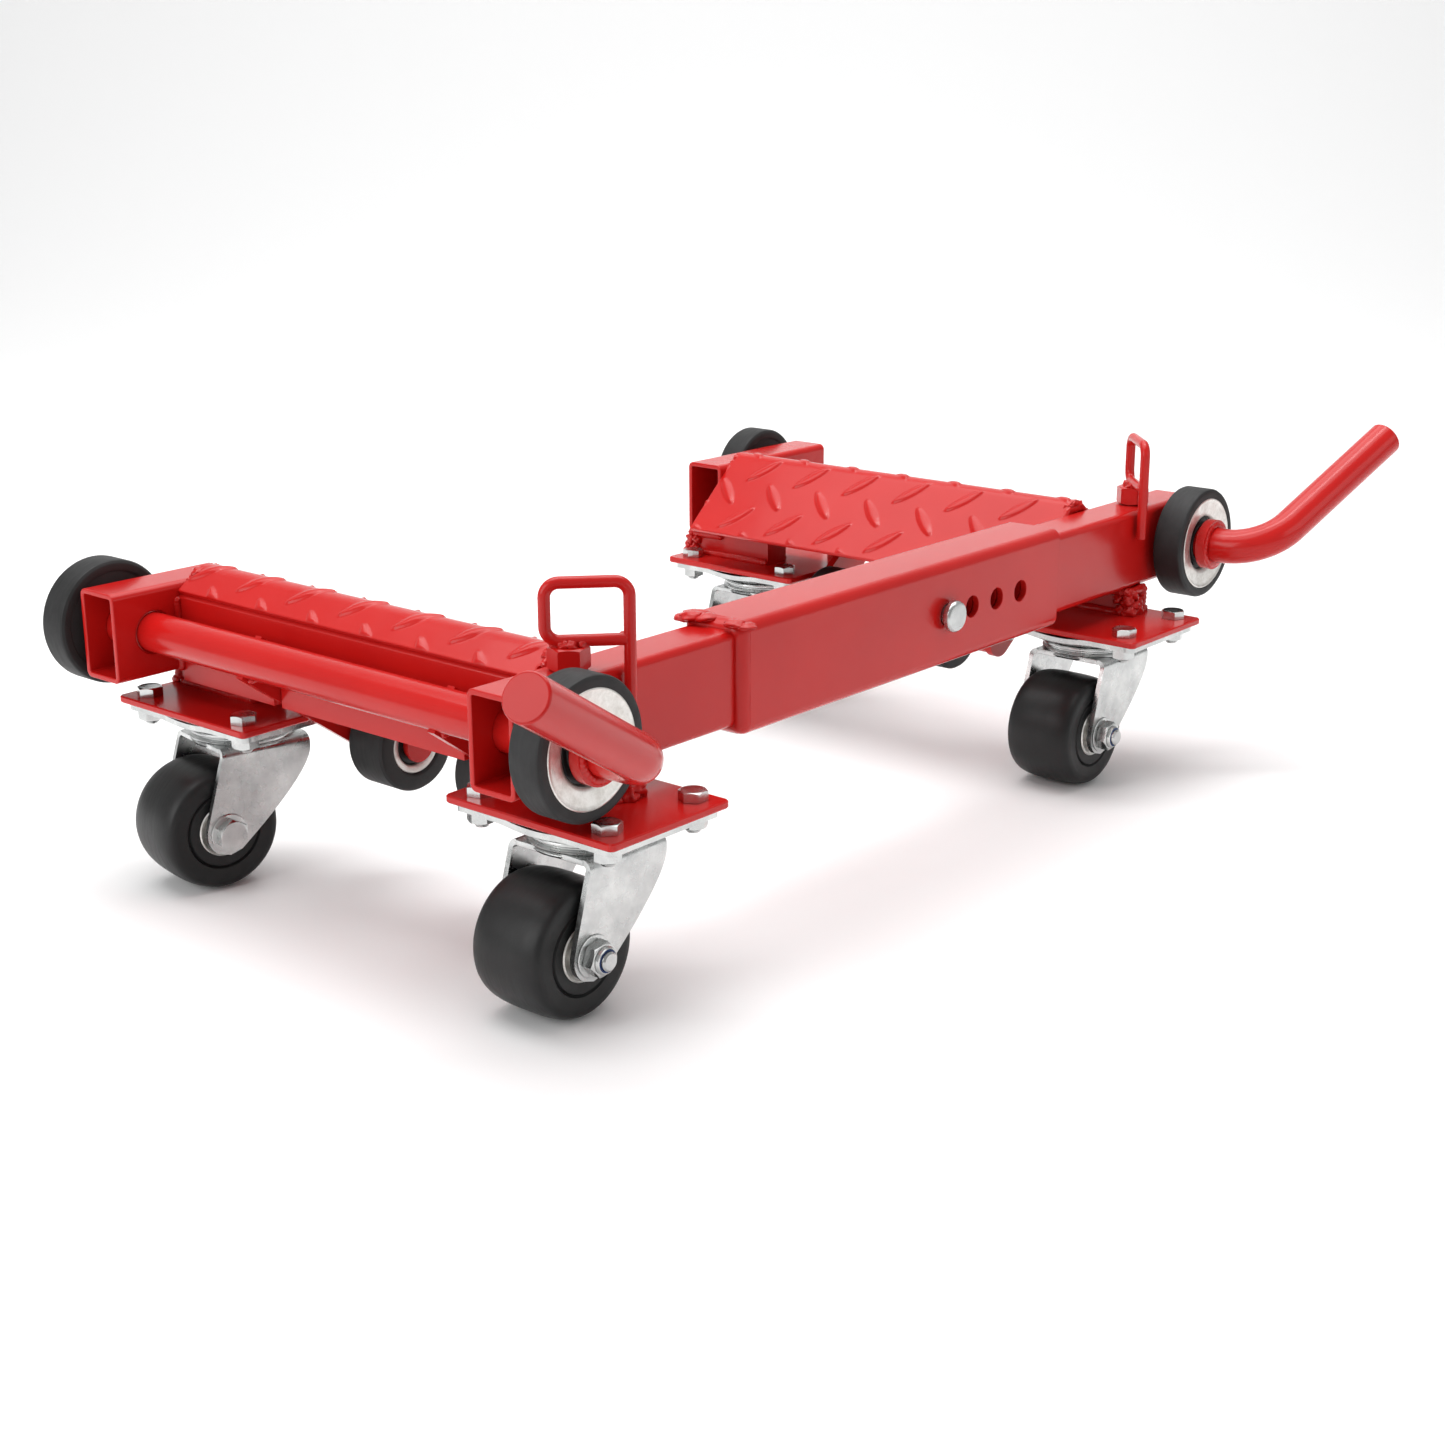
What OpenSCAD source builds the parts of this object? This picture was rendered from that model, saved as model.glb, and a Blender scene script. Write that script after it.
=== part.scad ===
// Adjustable wheel dolly. Two arms stand behind a telescoping cross-beam on four swivel casters,
// and a tyre rests between the sloping tread plates of the arms. Each arm has a cross shaft with
// a bent handle, a wheel at each end and a swinging pair of rollers.
// Units are millimetres. The front is -Y, +X runs along the cross-beam and the floor is at z = 0.
//
// Side modules are drawn in side coordinates: x inboard from the open end of that side's tubes,
// y back from the front face of the cross-beam, z up from the underside of the tubes.
// Caster modules are drawn about the swivel axis, z up from the top face of the caster's plate.

/* [Cross-beam] */
// Width between the open tube ends, fully closed
frame_w = 622; // [600:1:750]
// Height of the sliding tubes
tube_h = 50; // [46:1:60]
// Depth of the sliding tubes, front to back
tube_d = 30; // [28:1:40]
// Wall of the sliding tubes
tube_t = 3; // [2:0.5:4]
// Outside corner radius of the sliding tubes
tube_corner_r = 4; // [3:0.5:6]
// Length of the outer sleeve
sleeve_l = 291; // [250:1:320]
// Distance from the left open end to the sleeve
sleeve_inset = 161; // [150:1:180]
// Wall of the sleeve
sleeve_t = 4; // [3:0.5:6]
// Gap between the sleeve and the tube inside it
sleeve_gap = 1; // [0.5:0.5:2]
// Length of the left tube inside the sleeve
sleeve_grip = 60; // [40:1:70]

/* [Width adjustment] */
// Number of width positions
width_steps = 4; // [2:1:4]
// Distance between two width positions
width_pitch = 25; // [20:1:28]
// Distance from the sleeve's right end to the pin in use
pin_from_end = 117; // [100:1:130]
// Diameter of the adjusting pin
adjust_pin_d = 12; // [8:1:14]
// Diameter of the adjusting pin's head
adjust_head_d = 18; // [16:1:24]
// Radial clearance of the adjusting pin in its holes
adjust_pin_gap = 0.4; // [0.2:0.1:1]

/* [Arms] */
// Clear distance between the cross-beam and the rear tubes
arm_gap = 276; // [260:1:340]
// Extra distance inboard of the right arm's tread and casters
right_arm_shift = 35; // [20:1:45]
// Length of a rear tube beyond the crest of its tread plate
rear_tube_past_crest = 22; // [20:1:30]
// Distance inboard of the left tread's crest
crest_inset = 62; // [60:1:80]
// Height of the crest above the underside of the tubes
crest_h = 57; // [52:1:64]
// Outside bend radius of the crest
crest_r = 12; // [8:1:16]
// Thickness of the tread plate
tread_t = 3; // [2:0.5:4]
// Downward slope of the outer side of the tread plate
tread_outer_angle = 36; // [25:1:45]
// Length of the flat outer side
tread_outer_l = 16; // [12:1:18]
// Downward slope of the inner side, which carries the tyre
tread_inner_angle = 42; // [35:1:48]
// Length of the flat inner side
tread_inner_l = 64; // [50:1:70]
// Thickness of the rail web
rail_t = 4; // [3:0.5:5]
// Drop of the rail web below the tubes
rail_drop = 6; // [2:1:8]
// Distance of a tread rib from the nearest tube
rib_offset = 28; // [20:1:35]
// Thickness of a tread rib
rib_t = 4; // [3:0.5:6]

/* [Shafts and end wheels] */
// Diameter of the cross shafts
shaft_d = 22; // [18:1:24]
// Distance inboard of the shafts
shaft_inset = 25; // [22:1:26]
// Wall of the bearing sleeves that are welded through the tubes
bush_t = 1; // [0.8:0.1:2]
// Radial running clearance of shafts, axles and bushes
running_gap = 0.08; // [0.03:0.01:0.1]
// Side clearance between parts that turn past each other
side_gap = 0.4; // [0.3:0.1:1]
// Diameter of the end wheels
end_wheel_d = 70; // [60:1:71]
// Width of the end wheels
end_wheel_w = 20; // [16:1:26]
// Diameter of the steel hub of an end wheel
end_hub_d = 58; // [50:1:60]
// Thickness of the collar between tube and wheel
inner_collar_t = 4.6; // [3:0.2:8]
// Thickness of the collar outside the wheel
outer_collar_t = 6; // [4:1:10]
// Diameter of the outer collar
outer_collar_d = 32; // [28:1:34]

/* [Handles] */
// Distance from the outer collar to the corner of the bend
handle_corner = 33; // [28:1:45]
// Angle of the bend
handle_bend = 77; // [60:1:88]
// Centre-line radius of the bend
handle_bend_r = 35; // [30:1:38]
// Length from the corner to the free end
handle_l = 127; // [90:1:180]
// Angle of the handle above the horizontal
handle_rise = 30; // [10:1:45]

/* [Roller swing frames] */
// Distance from the shaft to the roller axle
crank_l = 106; // [98:1:108]
// Rest angle of the crank plates below the horizontal
crank_angle = 36; // [34:1:42]
// Width of the crank plates
crank_w = 25; // [20:1:26]
// Thickness of the crank plates
crank_t = 5; // [4:0.5:6]
// Gap between the front mount plate and the front crank plate
front_crank_gap = 2; // [1:0.5:15]
// Gap between the rear mount plate and the rear crank plate
rear_crank_gap = 1; // [1:0.5:15]
// Side clearance of the crank plates in the slots of the rail
slot_gap = 0.8; // [0.5:0.1:2]
// Diameter of the roller axle
roller_axle_d = 16; // [12:1:18]
// Diameter of the rollers
roller_d = 53; // [48:1:54]
// Width of the rollers
roller_w = 28; // [24:1:34]
// Length of the collar between the front crank plate and its roller
front_collar_l = 28; // [1:0.5:32]
// Length of the collar between the rear crank plate and its roller
rear_collar_l = 1; // [1:0.5:20]
// Thickness of the caps on the stub axles
roller_cap_t = 2; // [1.5:0.5:3]

/* [Lock pins] */
// Distance inboard of the lock pins
lock_inset = 52; // [50:1:54]
// Diameter of the lock pins
lock_pin_d = 12; // [8:1:14]
// Width of the hexagon across its flats
lock_hex_af = 18; // [16:1:20]
// Height of the hexagon
lock_hex_h = 11; // [8:1:14]
// Gap under the hexagon
lock_hex_gap = 0.5; // [0.3:0.1:2]
// Reach of the pin below the tube
lock_pin_reach = 8; // [4:1:10]
// Diameter of the bent rod
loop_rod_d = 6; // [5:0.5:8]
// Turn of the loop from the line of the cross-beam
loop_turn = 43; // [40:1:55]
// Gap between the beam's front face and the loop's free leg
loop_leg_gap = 1.8; // [1.5:0.1:6]
// Reach of the loop behind the pin
loop_back = 11; // [9:1:16]
// Height of the loop
loop_h = 28; // [22:1:36]
// Bend radius of the loop
loop_bend_r = 7; // [5:0.5:9]
// Depth of the free leg below the top of the tube
loop_leg = 17; // [10:1:30]

/* [Mount plates] */
// Width of a mount plate, along the beam
mount_w = 84; // [80:1:90]
// Length of a mount plate, along the arm
mount_l = 112; // [106:1:116]
// Thickness of a mount plate
mount_t = 4; // [3:0.5:6]
// Distance inboard of the left mount plates' centres
mount_inset = 62; // [60:1:66]
// Overhang of the rear mount plates past the rear tubes
rear_mount_overhang = 3; // [0:1:6]
// Height of the spacer bars between tube and plate
spacer_h = 16; // [14:1:24]
// Width of a spacer bar
spacer_w = 20; // [14:1:24]
// Length of a spacer bar
spacer_l = 70; // [50:1:70]
// Distance inboard of the spacer bars' centres
spacer_inset = 70; // [69:1:72]

/* [Casters] */
// Height of a caster, floor to plate
caster_h = 98; // [94:1:110]
// Width of a caster's top plate
caster_plate_w = 74; // [72:1:80]
// Length of a caster's top plate
caster_plate_l = 102; // [98:1:105]
// Thickness of a caster's top plate
caster_plate_t = 3; // [2:0.5:4]
// Spacing of the plate bolts along the beam
bolt_pitch_x = 60; // [60:1:62]
// Spacing of the plate bolts along the arm
bolt_pitch_y = 84; // [80:1:86]
// Thread diameter of the plate bolts
bolt_d = 8; // [6:1:8]
// Width of the bolt heads and nuts across their flats
bolt_af = 13; // [10:1:13]
// Height of the bolt heads
bolt_head_h = 5.3; // [4:0.1:5.3]
// Height of the nuts
bolt_nut_h = 6.5; // [5:0.1:8]
// Diameter of the caster wheels
wheel_d = 70; // [60:1:71]
// Width of the caster wheels
wheel_w = 45; // [36:1:46]
// Distance from the swivel axis to the wheel axis
trail = 26; // [20:1:27]
// Gap from the wheel to each fork leg
fork_gap = 2; // [1.5:0.5:2.5]
// Thickness of the fork
fork_t = 3; // [2:0.5:3.5]
// Radius of the fork's axle boss
fork_boss_r = 13; // [11:1:16]
// Diameter of the kingpin
kingpin_d = 10; // [8:1:12]
// Diameter of the axle bolt
axle_d = 10; // [8:1:12]
// Width of the axle bolt's head and nut across their flats
axle_af = 16; // [13:1:18]
// Diameter of the ball race
race_d = 60; // [50:1:60]
// Turn of the rear left caster from straight
rear_left_turn = -10; // [-20:1:20]

/* [Hidden] */
$fn = 48;

// Cross-beam and arms
sleeve_d = tube_d + 2 * (sleeve_t + sleeve_gap);
sleeve_h = tube_h + 2 * (sleeve_t + sleeve_gap);
sleeve_end = sleeve_inset + sleeve_l;
sleeve_weld_l = 6;
sleeve_weld_t = sleeve_t + sleeve_gap - 1;
arm_d = 2 * tube_d + arm_gap;
axis_h = tube_h / 2;
adjust_x = sleeve_end - pin_from_end;
width_travel = (width_steps - 1) * width_pitch;
slide_end_margin = 15;
rear_tube_y = tube_d + arm_gap;

// Heights above the floor
beam_z = caster_h + mount_t + spacer_h;
mount_top = -spacer_h;

// Shaft ends: distances outward from the tube's face
inner_collar_end = side_gap + inner_collar_t;
end_wheel_near = inner_collar_end + side_gap;
end_wheel_far = end_wheel_near + end_wheel_w;
outer_collar_near = end_wheel_far + side_gap;
shaft_end = outer_collar_near + outer_collar_t;
inner_collar_d = shaft_d + 6;
bush_d = shaft_d + 2 * (running_gap + bush_t);
loop_front = (tube_d / 2 + loop_rod_d / 2 + loop_leg_gap) / sin(loop_turn);

// Handle: axial reach in front of the collar, and reach across the shaft
handle_tangent = handle_bend_r * tan(handle_bend / 2);
handle_axial = handle_corner + handle_l * cos(handle_bend);

// Place of the beam's front face, which centres the whole dolly on y = 0
front_reach = shaft_end + handle_axial + shaft_d / 2 * sin(handle_bend);
rear_reach = arm_d + shaft_end;
front_y = (front_reach - rear_reach) / 2;

// Mount plates: centres in side coordinates
front_mount_y = tube_d / 2;
rear_mount_y = arm_d + rear_mount_overhang - mount_l / 2;

// Outer faces of the crank plates
crank_front = front_mount_y + mount_l / 2 + front_crank_gap;
crank_rear = rear_mount_y - mount_l / 2 - rear_crank_gap;

// Caster: heights below its plate's top face
race_top = -2 * caster_plate_t;
race_bottom = race_top - 3;
crown_top = race_bottom - side_gap;
crown_bottom = crown_top - fork_t;
retainer_top = crown_bottom - side_gap;
retainer_bottom = retainer_top - 3;
kingpin_bottom = retainer_bottom - 4;
axle_z = wheel_d / 2 - caster_h;
fork_inner = wheel_w / 2 + fork_gap;
fork_outer = fork_inner + fork_t;
wheel_bush_d = axle_d + 6;
wheel_flange_t = fork_gap - side_gap;

HOLE_THROUGH = 1;
LEFT = -1;
RIGHT = 1;
SIDES = ["left", "right"];
CORNERS = ["front_left", "rear_left", "front_right", "rear_right"];
SIDE_PARTS = [
    "beam", "rear_tube", "rail", "tread_plate", "mount_plates", "caster_bolts",
    "shaft_bushes", "shaft", "handle", "crank", "lock_pin", "front_roller", "rear_roller"
];
CORNER_PARTS = [
    "caster_plate", "caster_kingpin", "caster_fork", "caster_axle_bolt", "caster_wheel",
    "caster_bush", "end_wheel_tyre", "end_wheel_hub"
];

RED = [0.78, 0.05, 0.05];
ZINC = [0.80, 0.81, 0.80];
STEEL = [0.70, 0.69, 0.66];
BLACK = [0.06, 0.06, 0.065];

// ---- Where things sit ----

function arm_shift(side) = side == RIGHT ? right_arm_shift : 0;
function crest_x(side) = crest_inset + arm_shift(side);
function rail_x(side) = crest_x(side) - crest_r * sin(tread_outer_angle) - tread_outer_l * cos(tread_outer_angle);
function mount_x(side) = mount_inset + arm_shift(side);
function corner_side(corner) = corner < 2 ? LEFT : RIGHT;
function corner_is_rear(corner) = corner % 2 == 1;

// Moves side coordinates to the dolly's own frame
module at_side(side)
    translate([side * frame_w / 2, front_y, beam_z])
        mirror([side == RIGHT ? 1 : 0, 0, 0])
            children();

// Repeats what is drawn at the front tube, turned about, at the rear tube
module at_both_ends() {
    children();
    at_rear_end() children();
}

module at_rear_end()
    translate([0, arm_d, 0])
        mirror([0, 1, 0])
            children();

module at_caster(corner) {
    side = corner_side(corner);
    y = corner_is_rear(corner) ? rear_mount_y : front_mount_y;
    translate([side * (frame_w / 2 - mount_x(side)), front_y + y, caster_h])
        children();
}

// The part of a caster that swivels
module at_swivel(corner)
    at_caster(corner)
        rotate([0, 0, CORNERS[corner] == "rear_left" ? rear_left_turn : 0])
            children();

// The four bolt places of a mount plate
module at_plate_bolts()
    for (x = [-1, 1] * bolt_pitch_x / 2, y = [-1, 1] * bolt_pitch_y / 2)
        translate([x, y, 0])
            children();

// The two mount plates of a side, in side coordinates
module at_mounts(side)
    for (y = [front_mount_y, rear_mount_y])
        translate([mount_x(side), y, mount_top])
            children();

module at_shaft()
    translate([shaft_inset, 0, axis_h])
        children();

// The roller axle, with the crank plates at rest
module at_roller_axle()
    translate([shaft_inset + crank_l * cos(crank_angle), 0, axis_h - crank_l * sin(crank_angle)])
        children();

// ---- Shapes that repeat ----

// A cylinder along +Y from y0
module y_rod(r, y0, l)
    translate([0, y0, 0])
        rotate([-90, 0, 0])
            cylinder(r = r, h = l);

// A ring along +Y from y0
module y_ring(r, bore_r, y0, l)
    difference() {
        y_rod(r, y0, l);
        y_rod(bore_r, y0 - HOLE_THROUGH, l + 2 * HOLE_THROUGH);
    }

// Turns an outline of [radius, y] points about the Y axis
module y_turned(outline)
    rotate([-90, 0, 0])
        rotate_extrude($fn = 96)
            polygon(outline);

// A hexagon prism along +Z
module hexagon(across_flats, h)
    cylinder(d = across_flats / cos(30), h = h, $fn = 6);

module rounded_rect(w, h, r) {
    square([w - 2 * r, h], center = true);
    square([w, h - 2 * r], center = true);
    for (x = [-1, 1] * (w / 2 - r), y = [-1, 1] * (h / 2 - r))
        translate([x, y])
            circle(r);
}

// A rectangular tube along +X, resting on z = 0, with its front face at y = 0
module box_tube(l, d, h, t, r)
    translate([0, d / 2, h / 2])
        rotate([90, 0, 90])
            linear_extrude(l)
                difference() {
                    rounded_rect(d, h, r);
                    rounded_rect(d - 2 * t, h - 2 * t, max(r - t, 0.5));
                }

// A flat outline of [x, z] points, made solid along +Y from y0
module y_extruded(y0, l)
    translate([0, y0 + l, 0])
        rotate([90, 0, 0])
            linear_extrude(l)
                children();

// Points on a circle, from angle a to angle b
function arc(centre, r, a, b, steps) =
    [for (i = [0:steps]) centre + r * [cos(a + (b - a) * i / steps), sin(a + (b - a) * i / steps)]];

// Points on a curve from p to r that leaves and arrives pointing at q
function curve(p, q, r, steps) =
    [for (i = [0:steps]) let (t = i / steps) (1 - t) * (1 - t) * p + 2 * t * (1 - t) * q + t * t * r];

// ---- Cross-beam ----

module shaft_hole(y0)
    at_shaft() y_rod(bush_d / 2, y0 - HOLE_THROUGH, tube_d + 2 * HOLE_THROUGH);

module lock_pin_hole()
    translate([lock_inset, tube_d / 2, -HOLE_THROUGH])
        cylinder(r = lock_pin_d / 2 + running_gap, h = tube_h + 2 * HOLE_THROUGH);

module side_tube(l, y0)
    difference() {
        translate([0, y0, 0]) box_tube(l, tube_d, tube_h, tube_t, tube_corner_r);
        shaft_hole(y0);
    }

module left_beam()
    color(RED)
        difference() {
            side_tube(sleeve_inset + sleeve_grip, 0);
            lock_pin_hole();
        }

// The slot takes the place of the round holes that the adjusting pin has left behind it
module right_beam() {
    pin_x = frame_w - adjust_x;
    r = adjust_pin_d / 2 + adjust_pin_gap;
    color(RED)
        difference() {
            side_tube(pin_x + width_travel + slide_end_margin, 0);
            lock_pin_hole();
            for (x = [pin_x - width_travel : width_pitch : pin_x + width_travel])
                if (x <= pin_x || x == pin_x + width_travel)
                    translate([x, 0, axis_h]) y_rod(r, -HOLE_THROUGH, tube_d + 2 * HOLE_THROUGH);
            translate([pin_x, -HOLE_THROUGH, axis_h - r])
                cube([width_travel, tube_d + 2 * HOLE_THROUGH, 2 * r]);
        }
}

module rear_tube(side)
    color(RED) side_tube(crest_x(side) + rear_tube_past_crest, rear_tube_y);

module beam_sleeve()
    color(RED)
        difference() {
            union() {
                translate([sleeve_inset, (tube_d - sleeve_d) / 2, (tube_h - sleeve_h) / 2])
                    box_tube(sleeve_l, sleeve_d, sleeve_h, sleeve_t, tube_corner_r + sleeve_t);
                // Weld that fills the gap at the left end
                translate([sleeve_inset - sleeve_weld_l, -sleeve_weld_t, -sleeve_weld_t])
                    difference() {
                        cube([
                            2 * sleeve_weld_l, tube_d + 2 * sleeve_weld_t, tube_h + 2 * sleeve_weld_t
                        ]);
                        translate([-HOLE_THROUGH, sleeve_weld_t, sleeve_weld_t])
                            cube([2 * (sleeve_weld_l + HOLE_THROUGH), tube_d, tube_h]);
                    }
            }
            for (i = [0 : width_steps - 1])
                translate([adjust_x + i * width_pitch, 0, axis_h])
                    y_rod(adjust_pin_d / 2 + adjust_pin_gap, -sleeve_d, 2 * sleeve_d);
        }

module adjusting_pin() {
    head_t = 5;
    dome = 2;
    stand_off = 3;
    tail = 12;
    clip_hole_r = 1.5;
    head_y = (tube_d - sleeve_d) / 2 - stand_off;
    r = adjust_pin_d / 2;
    color(ZINC)
        translate([adjust_x, 0, axis_h])
            difference() {
                union() {
                    y_rod(r, head_y, stand_off + sleeve_d + tail);
                    translate([0, head_y - head_t, 0])
                        y_turned([
                            [0, head_t], [adjust_head_d / 2, head_t], [adjust_head_d / 2, dome],
                            [adjust_head_d / 2 - dome, 0.4], [0, 0]
                        ]);
                }
                translate([0, head_y + stand_off + sleeve_d + tail / 2, -2 * r])
                    cylinder(r = clip_hole_r, h = 4 * r);
            }
}

// ---- Arms ----

// Section of the tread plate: outer slope, rounded crest, inner slope
function tread_outline(side, t) =
    let (
        centre = [crest_x(side), crest_h - crest_r],
        a = 90 + tread_outer_angle,
        b = 90 - tread_inner_angle,
        outward = tread_outer_l * [-cos(tread_outer_angle), -sin(tread_outer_angle)],
        inward = tread_inner_l * [cos(tread_inner_angle), -sin(tread_inner_angle)],
        top = arc(centre, crest_r, a, b, 8),
        under = arc(centre, crest_r - t, b, a, 8)
    )
    concat([top[0] + outward], top, [top[8] + inward, under[0] + inward], under, [under[8] + outward]);

// Height of the underside of the outer slope at x
function under_tread(side, x) =
    crest_h - crest_r + (crest_r - tread_t) / cos(tread_outer_angle)
    - (crest_x(side) - x) * tan(tread_outer_angle);

module tread_plate(side)
    color(RED)
        y_extruded(tube_d, arm_gap)
            polygon(tread_outline(side, tread_t));

// A rib that carries the inner slope, from the web to near the slope's lower edge
module tread_rib(side, y0) {
    x0 = rail_x(side) + rail_t;
    outline = tread_outline(side, tread_t);
    reach = 0.75;
    foot = outline[12] * (1 - reach) + outline[11] * reach;
    color(RED)
        y_extruded(y0, rib_t)
            polygon(concat(
                [[x0, 0], [x0, under_tread(side, x0)]],
                [for (i = [20 : -1 : 12]) if (outline[i][0] > x0) outline[i]],
                [foot]
            ));
}

module rail(side) {
    x0 = rail_x(side);
    x1 = x0 + rail_t;
    slot_top = axis_h - (x0 - shaft_inset) * tan(crank_angle) + crank_w / 2 / cos(crank_angle) + slot_gap;
    color(RED) {
        difference() {
            y_extruded(tube_d, arm_gap)
                polygon([
                    [x0, -rail_drop], [x1, -rail_drop],
                    [x1, under_tread(side, x1)], [x0, under_tread(side, x0)]
                ]);
            for (y = [crank_front, crank_rear - crank_t])
                translate([x0 - HOLE_THROUGH, y - slot_gap, -rail_drop - HOLE_THROUGH])
                    cube([
                        rail_t + 2 * HOLE_THROUGH, crank_t + 2 * slot_gap,
                        slot_top + rail_drop + HOLE_THROUGH
                    ]);
        }
        tread_rib(side, tube_d + rib_offset);
        tread_rib(side, rear_tube_y - rib_offset - rib_t);
    }
}

module mount_plates(side)
    color(RED) {
        at_mounts(side)
            difference() {
                translate([-mount_w / 2, -mount_l / 2, -mount_t])
                    cube([mount_w, mount_l, mount_t]);
                at_plate_bolts()
                    translate([0, 0, -mount_t - HOLE_THROUGH])
                        cylinder(d = bolt_d + 1, h = mount_t + 2 * HOLE_THROUGH);
            }
        // The right one stops at the beam's back, clear of the rail and the bolts there
        translate([spacer_inset - spacer_w / 2, 0, mount_top])
            cube([spacer_w, side == RIGHT ? tube_d : spacer_l, spacer_h]);
        translate([spacer_inset + arm_shift(side) - spacer_w / 2, arm_d - spacer_l, mount_top])
            cube([spacer_w, spacer_l, spacer_h]);
    }

module caster_bolts(side) {
    grip = mount_t + caster_plate_t;
    thread_end = 2.5;
    color(ZINC)
        at_mounts(side)
            at_plate_bolts() {
                hexagon(bolt_af, bolt_head_h);
                translate([0, 0, -grip - bolt_nut_h - thread_end])
                    cylinder(d = bolt_d, h = grip + bolt_nut_h + thread_end + 1);
                translate([0, 0, -grip - bolt_nut_h])
                    hexagon(bolt_af, bolt_nut_h);
            }
}

// ---- Shafts, handles and end wheels ----

module shaft_bushes()
    color(RED)
        at_shaft()
            at_both_ends()
                y_ring(bush_d / 2, shaft_d / 2 + running_gap, 0, tube_d);

module shaft()
    color(RED)
        at_shaft() {
            y_rod(shaft_d / 2, -shaft_end, arm_d + 2 * shaft_end);
            at_both_ends() {
                y_rod(inner_collar_d / 2, -inner_collar_end, inner_collar_t);
                y_rod(outer_collar_d / 2, -shaft_end, outer_collar_t);
            }
        }

// A round bar: out along the shaft, round the bend, then up and outboard to the free end
module handle() {
    root_l = handle_corner - handle_tangent;
    root_gap = 0.2;
    root_lap = 1;
    color(RED)
        at_shaft()
            rotate([0, handle_rise, 0])
                translate([0, -shaft_end, 0]) {
                    y_rod(shaft_d / 2 - root_gap, -root_l - root_lap, root_l + root_lap);
                    translate([-handle_bend_r, -root_l, 0])
                        rotate([0, 0, -handle_bend]) {
                            rotate_extrude(angle = handle_bend)
                                translate([handle_bend_r, 0])
                                    circle(d = shaft_d);
                            translate([handle_bend_r, 0, 0])
                                y_rod(shaft_d / 2, -handle_l + handle_tangent, handle_l - handle_tangent);
                        }
                }
}

module end_wheel_tyre() {
    edge = 2;
    near = end_wheel_near;
    far = end_wheel_far;
    color(BLACK)
        at_shaft()
            y_turned([
                [end_hub_d / 2, -near], [end_wheel_d / 2 - edge, -near], [end_wheel_d / 2, -near - edge],
                [end_wheel_d / 2, -far + edge], [end_wheel_d / 2 - edge, -far], [end_hub_d / 2, -far]
            ]);
}

// A dished steel hub: flat rim, sloping dish, recessed centre
module end_wheel_hub() {
    bore = shaft_d / 2 + running_gap;
    centre_r = outer_collar_d / 2 + 2;
    rim_r = end_hub_d / 2 - 3;
    rim_depth = 0.4;
    dish_depth = 2;
    centre_depth = 4;
    half = end_wheel_w / 2;
    section = [
        [bore, centre_depth], [centre_r, centre_depth], [centre_r, dish_depth], [rim_r, rim_depth],
        [rim_r, 0], [end_hub_d / 2, 0]
    ];
    color(STEEL)
        at_shaft()
            translate([0, -(end_wheel_near + half), 0])
                y_turned(concat(
                    [for (p = section) [p[0], half - p[1]]],
                    [for (i = [len(section) - 1 : -1 : 0]) [section[i][0], section[i][1] - half]]
                ));
}

// ---- Roller swing frames ----

// A crank plate: a bar welded to the side of the shaft, with an eye on the roller axle
module crank_plate(y0)
    at_shaft()
        difference() {
            rotate([0, crank_angle, 0])
                y_extruded(y0, crank_t) {
                    translate([0, -crank_w / 2]) square([crank_l, crank_w]);
                    translate([crank_l, 0]) circle(crank_w / 2);
                }
            y_rod(shaft_d / 2, y0 - HOLE_THROUGH, crank_t + 2 * HOLE_THROUGH);
        }

// Measures along a roller's stub axle, from the outer face of its crank plate
function roller_near(rear) = crank_t + (rear ? rear_collar_l : front_collar_l) + side_gap;
function roller_far(rear) = roller_near(rear) + roller_w;

// Frame at the outer face of a crank plate, pointing inwards. The rear one mirrors the front one
module at_roller_end(rear)
    translate([0, rear ? crank_rear : crank_front, 0])
        mirror([0, rear ? 1 : 0, 0])
            children();

// Two cranks on one shaft, each with a stub axle for its roller
module crank() {
    collar_r = roller_axle_d / 2 + 3;
    cap_r = roller_axle_d / 2 + 1.5;
    color(RED)
        for (rear = [false, true]) {
            crank_plate(rear ? crank_rear - crank_t : crank_front);
            at_roller_axle()
                at_roller_end(rear) {
                    y_rod(roller_axle_d / 2, 0, roller_far(rear) + side_gap + roller_cap_t);
                    y_rod(collar_r, 0, roller_near(rear) - side_gap);
                    y_rod(cap_r, roller_far(rear) + side_gap, roller_cap_t);
                }
        }
}

module roller(rear) {
    edge = 2;
    near = roller_near(rear);
    far = roller_far(rear);
    bore = roller_axle_d / 2 + running_gap;
    recess_r = roller_axle_d / 2 + 4;
    recess = 2;
    r = roller_d / 2;
    color(BLACK)
        at_roller_axle()
            at_roller_end(rear)
                y_turned([
                    [bore, near], [recess_r, near], [r - edge, near], [r, near + edge],
                    [r, far - edge], [r - edge, far], [recess_r, far], [recess_r - 0.5, far - recess],
                    [bore, far - recess]
                ]);
}

// ---- Lock pins ----

// A rod between two points of a plane, [along, height]
module loop_rod(a, b) {
    d = b - a;
    translate([a[0], 0, a[1]])
        rotate([0, atan2(d[0], d[1]), 0])
            cylinder(d = loop_rod_d, h = norm(d));
}

// A quarter bend of the loop about a centre, from angle a
module loop_bend(centre, a)
    translate([centre[0], 0, centre[1]])
        rotate([90, 0, 0])
            rotate([0, 0, a])
                rotate_extrude(angle = 90)
                    translate([loop_bend_r, 0])
                        circle(d = loop_rod_d);

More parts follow.
